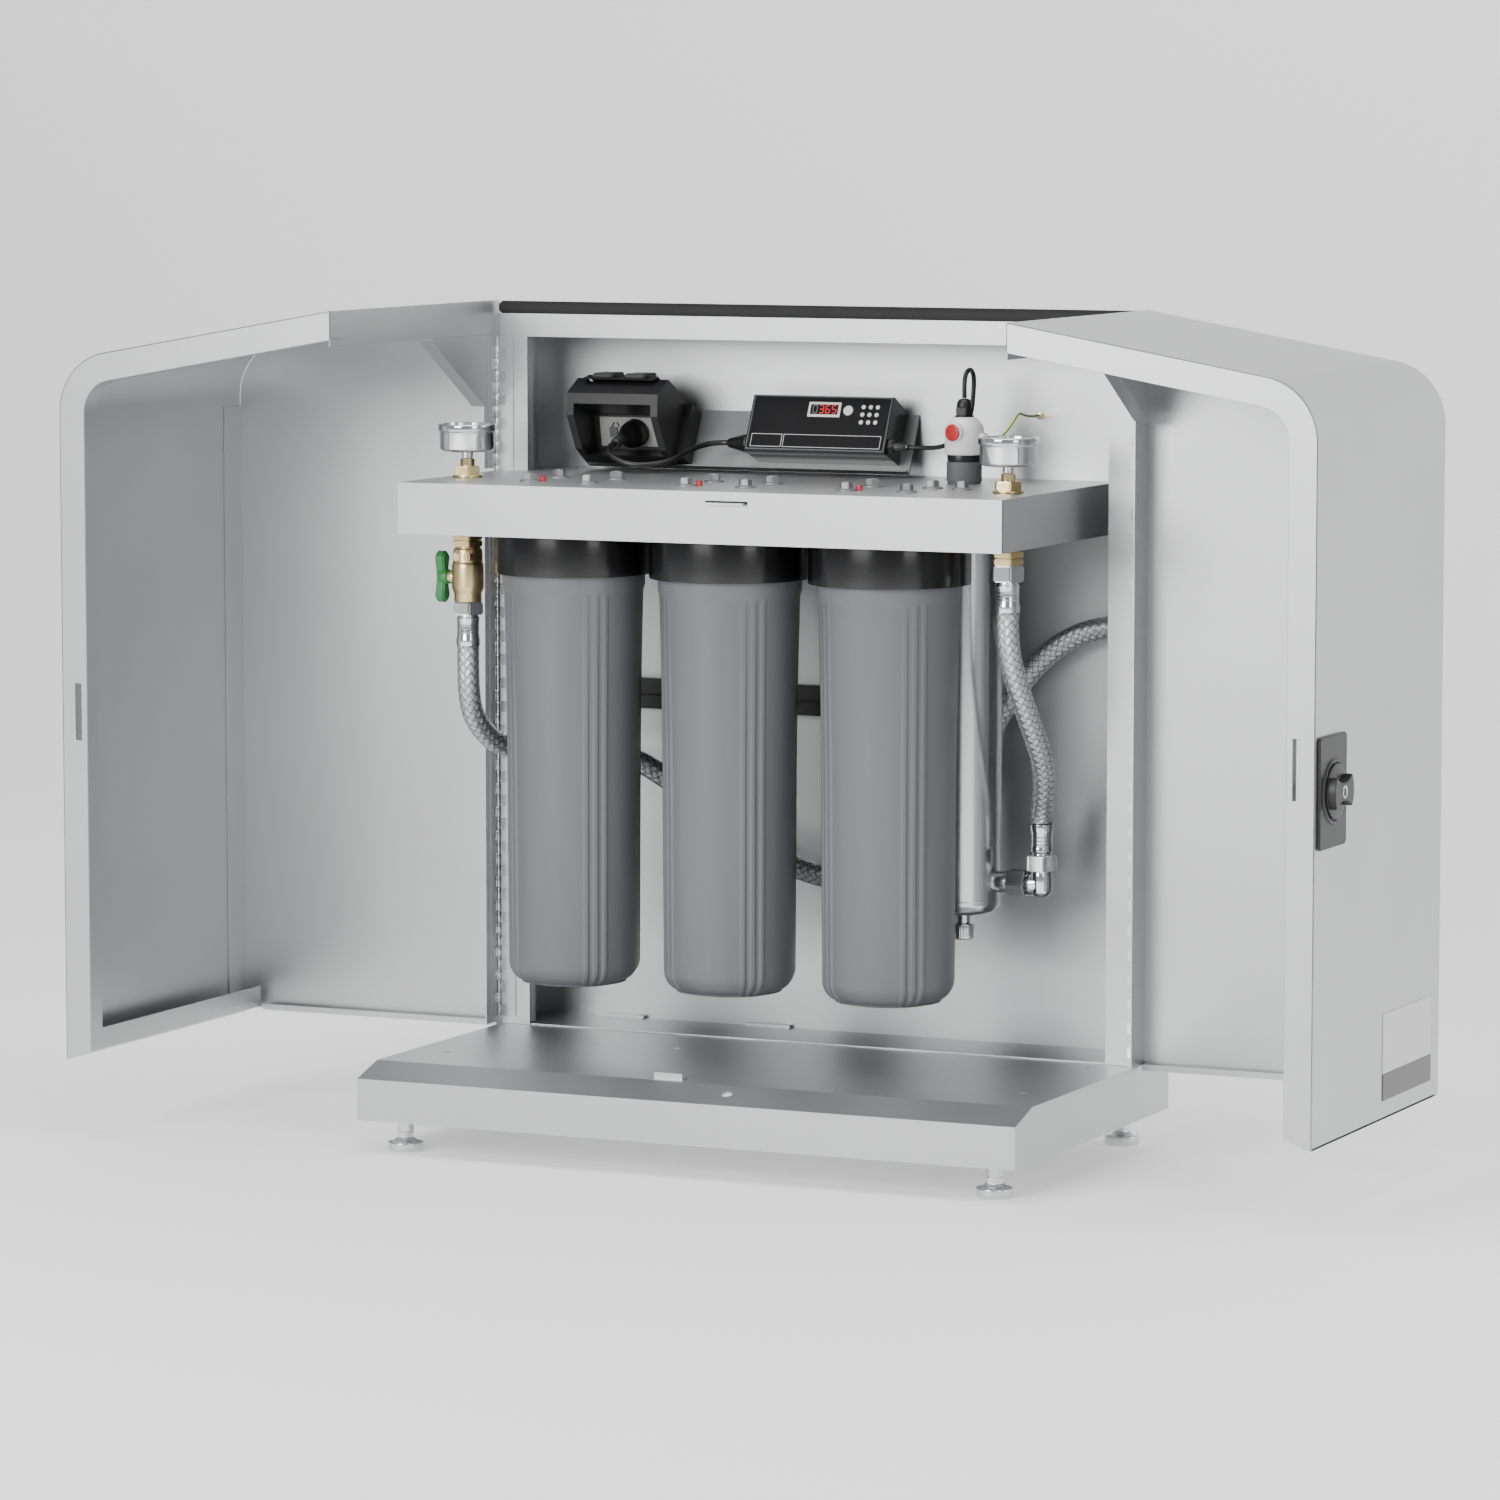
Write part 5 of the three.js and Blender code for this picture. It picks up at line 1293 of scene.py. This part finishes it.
class CABINET_OT_steriliser(bpy.types.Operator):
    """Builds the ultraviolet chamber, its collar, the lamp cap, the drain and the earth wire"""

    bl_idname = "cabinet.steriliser"
    bl_label = "Steriliser"

    def execute(self, context):
        low, high = box_mm("uv_chamber")
        stand = upright(LAMP)
        bottom = low.z + 12
        r, top = 44.5, SHELF - 17
        shell = Shape()
        shell.turn([(0, low.z), (9, low.z), (9, bottom - 1), (30, bottom), (37, bottom + 1.5), (42, bottom + 5),
                    (r, bottom + 12), (r, top - 12), (42, top - 5), (37, top - 1.5), (30, top), (17.3, top),
                    (17.3, SHELF + 10), (0, SHELF + 10)], stand, 96, 1.2)
        for z in (bottom + 17, top - 17):
            shell.turn([(r - 0.5, z - 2), (r + 0.35, z), (r - 0.5, z + 2)], stand, 96, 0.4)
        port = facing((1, 0, 0), (LAMP.x, LAMP.y, 306))
        reach = high.x - LAMP.x
        shell.turn([(9, 38), (12.5, 38), (12.5, reach - 21), (9, reach - 21)], port, 36, 0.4)
        shell.hexagon(29, reach - 22, reach, port, 1.2)
        rear = facing((0, 1, 0), (LAMP.x, LAMP.y, 690))
        shell.turn([(10, 40), (14, 40), (14, high.y - LAMP.y), (10, high.y - LAMP.y)], rear, 36, 0.5)
        shell.piece("uv_chamber_shell", "cabinet", polished_steel, "stainless_steel", ["uv_chamber"])
        dress("quartz_sleeve", quartz, smooth=True)
        dress("uv_lamp", quartz, smooth=True)

        collar = Shape()
        z = SHELF + 0.3
        collar.turn([(17.7, z), (19.4, z), (19.4, z + 2), (20.3, z + 3), (20.3, z + 24), (19.6, z + 25),
                     (12, z + 25), (12, z + 12), (17.7, z + 11)], stand, 96, 0.4,
                    reach=lambda a, rr, zz: rr - 0.45 * (0.5 + 0.5 * math.cos(48 * a)) if rr > 19.8 else rr)
        collar.piece("collar_nut", "cabinet", grey_fitting, "dark_plastic", ["uv_gland_nut"])
        z = SHELF + 26
        ring = Shape()
        ring.turn([(9, z), (19.4, z), (19.4, z + 7), (9, z + 7)], stand, 56, 0.6)
        ring.piece("cap_base_ring", "cabinet", sheath, "cable_sheath")
        cap = Shape()
        cap.turn([(9, z + 6.9), (21.6, z + 7), (22.4, z + 8.5), (22.4, z + 37), (20.5, z + 42), (13.4, z + 50),
                  (9, z + 50)], stand, 72, 1.2)
        cap.block((18.4, -7, z + 16), (27.2, 7, z + 32), stand, 1.6, 3)
        cap.turn([(6, 18), (11.8, 18), (11.8, 22.6), (10.4, 23.6), (10.2, 24.2), (6, 24.2)],
                 facing((-0.2, -1, 0), (LAMP.x, LAMP.y, z + 33)), 40, 0.6)
        cap.piece("lamp_cap_shell", "cabinet", white_gloss, "white_plastic", ["lamp_cap"])
        red = Shape()
        red.turn([(0, 20), (9.9, 20), (9.9, 24.6), (8.6, 25.6), (0, 26.2)],
                 facing((-0.2, -1, 0), (LAMP.x, LAMP.y, z + 33)), 40, 0.6)
        red.piece("lamp_cap_button", "cabinet", red_gloss, "red_plastic")
        gland = Shape()
        gland.turn([(0, z + 49), (11, z + 49), (11, z + 52), (0, z + 52)], stand, 40, 0.5)
        gland.hexagon(18.5, z + 52, z + 61, stand, 1)
        gland.turn([(0, z + 60), (9, z + 60), (8.6, z + 66), (6.4, z + 70), (3.2, z + 71), (0, z + 71)],
                   stand, 40, 0.8)
        gland.piece("lamp_cap_gland", "cabinet", sheath, "cable_sheath")
        drain = Shape()
        d_low, d_high = box_mm("drain_cap")
        drain.turn([(0, d_low.z), (12.2, d_low.z), (13.3, d_low.z + 1.4), (13.3, d_high.z - 1.4),
                    (12.2, d_high.z), (0, d_high.z)], stand, 120, 0.3,
                   reach=lambda a, rr, zz: rr - 0.35 * (0.5 + 0.5 * math.cos(40 * a)) if rr > 12.6 else rr)
        drain.piece("drain_cap_knurled", "drain_cap", chrome, "chrome_plate", ["drain_cap"])
        wire = Shape()
        wire.tube(smooth_route([
            (LAMP.x + 24, LAMP.y, z + 22), (LAMP.x + 32, LAMP.y + 1, z + 23), (LAMP.x + 41, LAMP.y + 4, z + 27),
            (LAMP.x + 48, LAMP.y + 8, z + 34), (LAMP.x + 53, LAMP.y + 14, z + 43),
            (LAMP.x + 54, LAMP.y + 24, z + 50), (LAMP.x + 52, LAMP.y + 40, z + 53),
            (LAMP.x + 50, LAMP.y + 60, z + 50), (LAMP.x + 50, LAMP.y + 80, z + 48),
            (LAMP.x + 50, BACK - 4, z + 48)], 2), 1.5, 12)
        wire.piece("earth_wire_loop", "cabinet", earth_wire, "green_plastic", fix=False)
        lug = Shape()
        lug.turn([(0, 0), (5, 0), (5, 1.2), (3.4, 1.4), (3.4, 4), (0, 4)],
                 facing((0, -1, 0), (LAMP.x + 50, BACK, z + 48)), 28, 0.3)
        lug.piece("earth_stud", "cabinet", brass, "brass")
        return {"FINISHED"}


SEGMENTS = {"0": "abcdef", "3": "abcdg", "6": "acdefg", "5": "acdfg"}
BARS = {
    "a": (1, 9.2, 5, 10.2), "b": (5, 5.4, 6, 9.4), "c": (5, 0.8, 6, 4.8), "d": (1, 0, 5, 1),
    "e": (0, 0.8, 1, 4.8), "f": (0, 5.4, 1, 9.4), "g": (1, 4.6, 5, 5.6),
}


class CABINET_OT_console(bpy.types.Operator):
    """Builds the ballast's face and display, the cable glands, the socket face and the plug"""

    bl_idname = "cabinet.console"
    bl_label = "Console"

    def execute(self, context):
        face = console_frame()
        dress("ballast_case", black_gloss, 0.0008)
        front = -47.3
        x0, x1 = BALLAST_LEFT + 26, BALLAST_RIGHT - 23.5
        low, high = 8.2, 77

        def plaque(shape, a, b, proud, bevel=0.2):
            shape.block((a[0], front - proud, a[1]), (b[0], front + 0.4, b[1]), face, bevel)

        border = Shape()
        plaque(border, (x0 + 1, low), (x1 - 1, high), 0.5, 0.5)
        border.piece("ballast_border", "cabinet", grey_fitting, "dark_plastic")
        panel = Shape()
        plaque(panel, (x0 + 3, low + 2), (x1 - 3, high - 2), 0.8, 0.3)
        panel.piece("ballast_panel", "cabinet", black_gloss, "black_gloss_plastic")
        button = box_mm("ballast_button")
        button_x = (button[0].x + button[1].x) / 2
        lines = Shape()
        for a, b in (((x0 + 7, 12), (x0 + 46, 28)), ((x0 + 48, 12), (x1 - 7, 28))):
            for edge in (((a[0], a[1]), (b[0], a[1] + 0.5)), ((a[0], b[1] - 0.5), (b[0], b[1])),
                         ((a[0], a[1]), (a[0] + 0.5, b[1])), ((b[0] - 0.5, a[1]), (b[0], b[1]))):
                plaque(lines, edge[0], edge[1], 0.95, 0)
        window = (button_x - 51, 50.5, button_x - 10, 69)
        plaque(lines, window[:2], window[2:], 1.4, 0.4)
        for i in range(3):
            for j in range(3):
                spot = face @ facing((0, -1, 0), (x1 - 18 - 9 * i, front - 0.7, 64 - 9.5 * j))
                lines.disc(2.6, 0, 0.3, spot, 20, 0.1)
        lines.piece("ballast_print", "cabinet", white_gloss, "white_plastic")
        glass = Shape()
        plaque(glass, (window[0] + 3, window[1] + 3), (window[2] - 3, window[3] - 3), 1.6, 0.2)
        glass.piece("display_window", "cabinet", black_gloss, "black_gloss_plastic")
        # The idle digit's faint grey glow is painted light; only the red digits are lit.
        for name, digits, start, maker in (("display_idle", "0", 0, unlit_segments),
                                           ("display_lit", "365", 1, red_segments)):
            figures = Shape()
            for k, digit in enumerate(digits):
                left = window[0] + 6 + (start + k) * 8
                for bar in SEGMENTS[digit]:
                    u0, v0, u1, v1 = BARS[bar]
                    plaque(figures, (left + u0, window[1] + 4.3 + v0), (left + u1, window[1] + 4.3 + v1), 1.75, 0)
            figures.piece(name, "cabinet", maker, "red_plastic" if start else "grey_plastic", sharp=0.3)
        dress("ballast_button", white_gloss, 0.0004, smooth=True)
        self.glands()
        self.socket()
        return {"FINISHED"}

    def glands(self):
        _, y, z = LAMP_ROUTE[0]
        sleeve = Shape()
        place = facing((-1, 0, 0), (BALLAST_LEFT + 26, y, z))
        sleeve.turn([(0, 0), (11.4, 0), (11.4, 3), (10.4, 4), (5.4, 25.6), (4.6, 26), (0, 26)], place, 40, 0.6)
        for i in range(4):
            across = 9.6 - 1.2 * i
            sleeve.turn([(across - 1, 6 + 4.6 * i), (across + 0.9, 7 + 4.6 * i), (across - 1.4, 8.4 + 4.6 * i)],
                        place, 40, 0.3)
        sleeve.piece("mains_strain_relief", "cabinet", sheath, "cable_sheath")
        gland = Shape()
        place = facing((1, 0, 0), (BALLAST_RIGHT - 23.5, y, z))
        gland.hexagon(17, 0, 7, place, 0.8)
        gland.turn([(0, 6.5), (7, 6.5), (6.6, 12), (4.2, 22), (3.6, 23.5), (0, 23.5)], place, 32, 0.5)
        gland.piece("lamp_lead_gland", "cabinet", sheath, "cable_sheath")

    def socket(self):
        dress("socket_box", dark_texture, 0.0032)
        dress("socket_flap", dark_texture, 0.0012)
        low, high = box_mm("socket_flap")
        lugs = Shape()
        for x in (low.x + 24, high.x - 24):
            lugs.block((x - 13, low.y + 2, high.z - 3), (x + 13, high.y - 3, high.z + 3.2), bevel=1.6, segments=3)
        lugs.piece("socket_lid_lugs", "socket_flap", dark_texture, "dark_plastic")
        dress("socket_switch", grey_fitting, 0.0006)
        seat = socket_frame()
        plate = Shape()
        plate.block((-47, -0.2, -17), (43, 2, 18), seat, 0.15)
        plate.piece("socket_face", "cabinet", socket_grey, "grey_plastic")
        # Two thin black plates on the socket face stand for its pin holes: painted shade where the holes' insides
        # are.
        slots = Shape()
        for x, tilt in ((-19.5, 0.5), (-13, -0.5)):
            turn = seat @ Matrix.Translation(Vector((x - 10, 0, 9))) @ Matrix.Rotation(tilt, 4, "Y")
            slots.block((-0.9, -0.28, -3.4), (0.9, 1, 3.4), turn, 0)
        slots.piece("socket_slots_painted_shade", "cabinet", seal_rubber, "dark_plastic", sharp=0.3)
        plug = Shape()
        out = seat @ Matrix.Rotation(math.radians(90), 4, "X")
        plug.turn([(0, 0.4), (16, 0.4), (16.8, 1.6), (16.8, 5), (16, 7), (15.6, 16), (12, 25), (8, 31.5),
                   (6.6, 36), (6.2, 38), (5.9, 58), (4.4, 60), (3.4, 60), (0, 60)], out, 56, 0.6)
        for i in range(5):
            z = 40 + i * 3.6
            plug.turn([(5.8, z - 0.9), (6.5, z), (5.8, z + 0.9)], out, 32, 0.2)
        plug.piece("mains_plug_body", "cabinet", sheath, "black_gloss_plastic", ["mains_plug"])


class CABINET_OT_feet(bpy.types.Operator):
    """Builds the levelling feet"""

    bl_idname = "cabinet.feet"
    bl_label = "Feet"

    def execute(self, context):
        for end in ("front", "rear"):
            for hand in ("left", "right"):
                node = f"foot_{end}_{hand}"
                low, high = box_mm(node)
                stand = upright((low + high) / 2)
                pad = Shape()
                pad.turn([(0, 0), (19.4, 0), (20.6, 1.6), (20.6, 10.4), (19.4, 11.4), (12, 13), (10.4, 15.2),
                          (0, 15.2)], stand, 56, 0.8)
                pad.hexagon(17, 14.8, 22, stand, 0.9)
                pad.hexagon(17, 22.5, 37.7, stand @ Matrix.Rotation(0.3, 4, "Z"), 0.9)
                pad.turn([(0, 12), (4.9, 12)] + [
                    (4.9 - 0.45 * (i % 2), 37.8 + i * 0.75) for i in range(15)] + [(4, high.z), (0, high.z)],
                    stand, 24, 0.1)
                pad.piece(f"{node}_pad", node, polished_steel, "dark_steel", [node])
        return {"FINISHED"}


class CABINET_PT_panel(bpy.types.Panel):
    """Lists the sizes, the colours and the makers"""

    bl_label = "Filter Cabinet"
    bl_idname = "CABINET_PT_panel"
    bl_space_type = "VIEW_3D"
    bl_region_type = "UI"
    bl_category = "Filter Cabinet"

    def draw(self, context):
        for group in (context.scene.cabinet_sizes, context.scene.cabinet_colours):
            for name in group.bl_rna.properties.keys():
                if name not in ("rna_type", "name"):
                    self.layout.prop(group, name)
        for operator in OPERATORS:
            self.layout.operator(operator.bl_idname)


OPERATORS = (
    CABINET_OT_stage,
    CABINET_OT_hoses,
    CABINET_OT_sheet_metal,
    CABINET_OT_doors,
    CABINET_OT_hinges,
    CABINET_OT_latch,
    CABINET_OT_housings,
    CABINET_OT_gauges,
    CABINET_OT_pipework,
    CABINET_OT_steriliser,
    CABINET_OT_console,
    CABINET_OT_feet,
)
CLASSES = (CabinetSizes, CabinetColours, *OPERATORS, CABINET_PT_panel)


def register():
    for item in CLASSES:
        bpy.utils.register_class(item)
    bpy.types.Scene.cabinet_sizes = PointerProperty(type=CabinetSizes)
    bpy.types.Scene.cabinet_colours = PointerProperty(type=CabinetColours)


def unregister():
    del bpy.types.Scene.cabinet_colours
    del bpy.types.Scene.cabinet_sizes
    for item in reversed(CLASSES):
        bpy.utils.unregister_class(item)


def main():
    register()
    for name in ("stage", "hoses", "sheet_metal", "doors", "hinges", "latch", "housings", "gauges",
                 "pipework", "steriliser", "console", "feet"):
        getattr(bpy.ops.cabinet, name)()


if __name__ == "__main__":
    main()
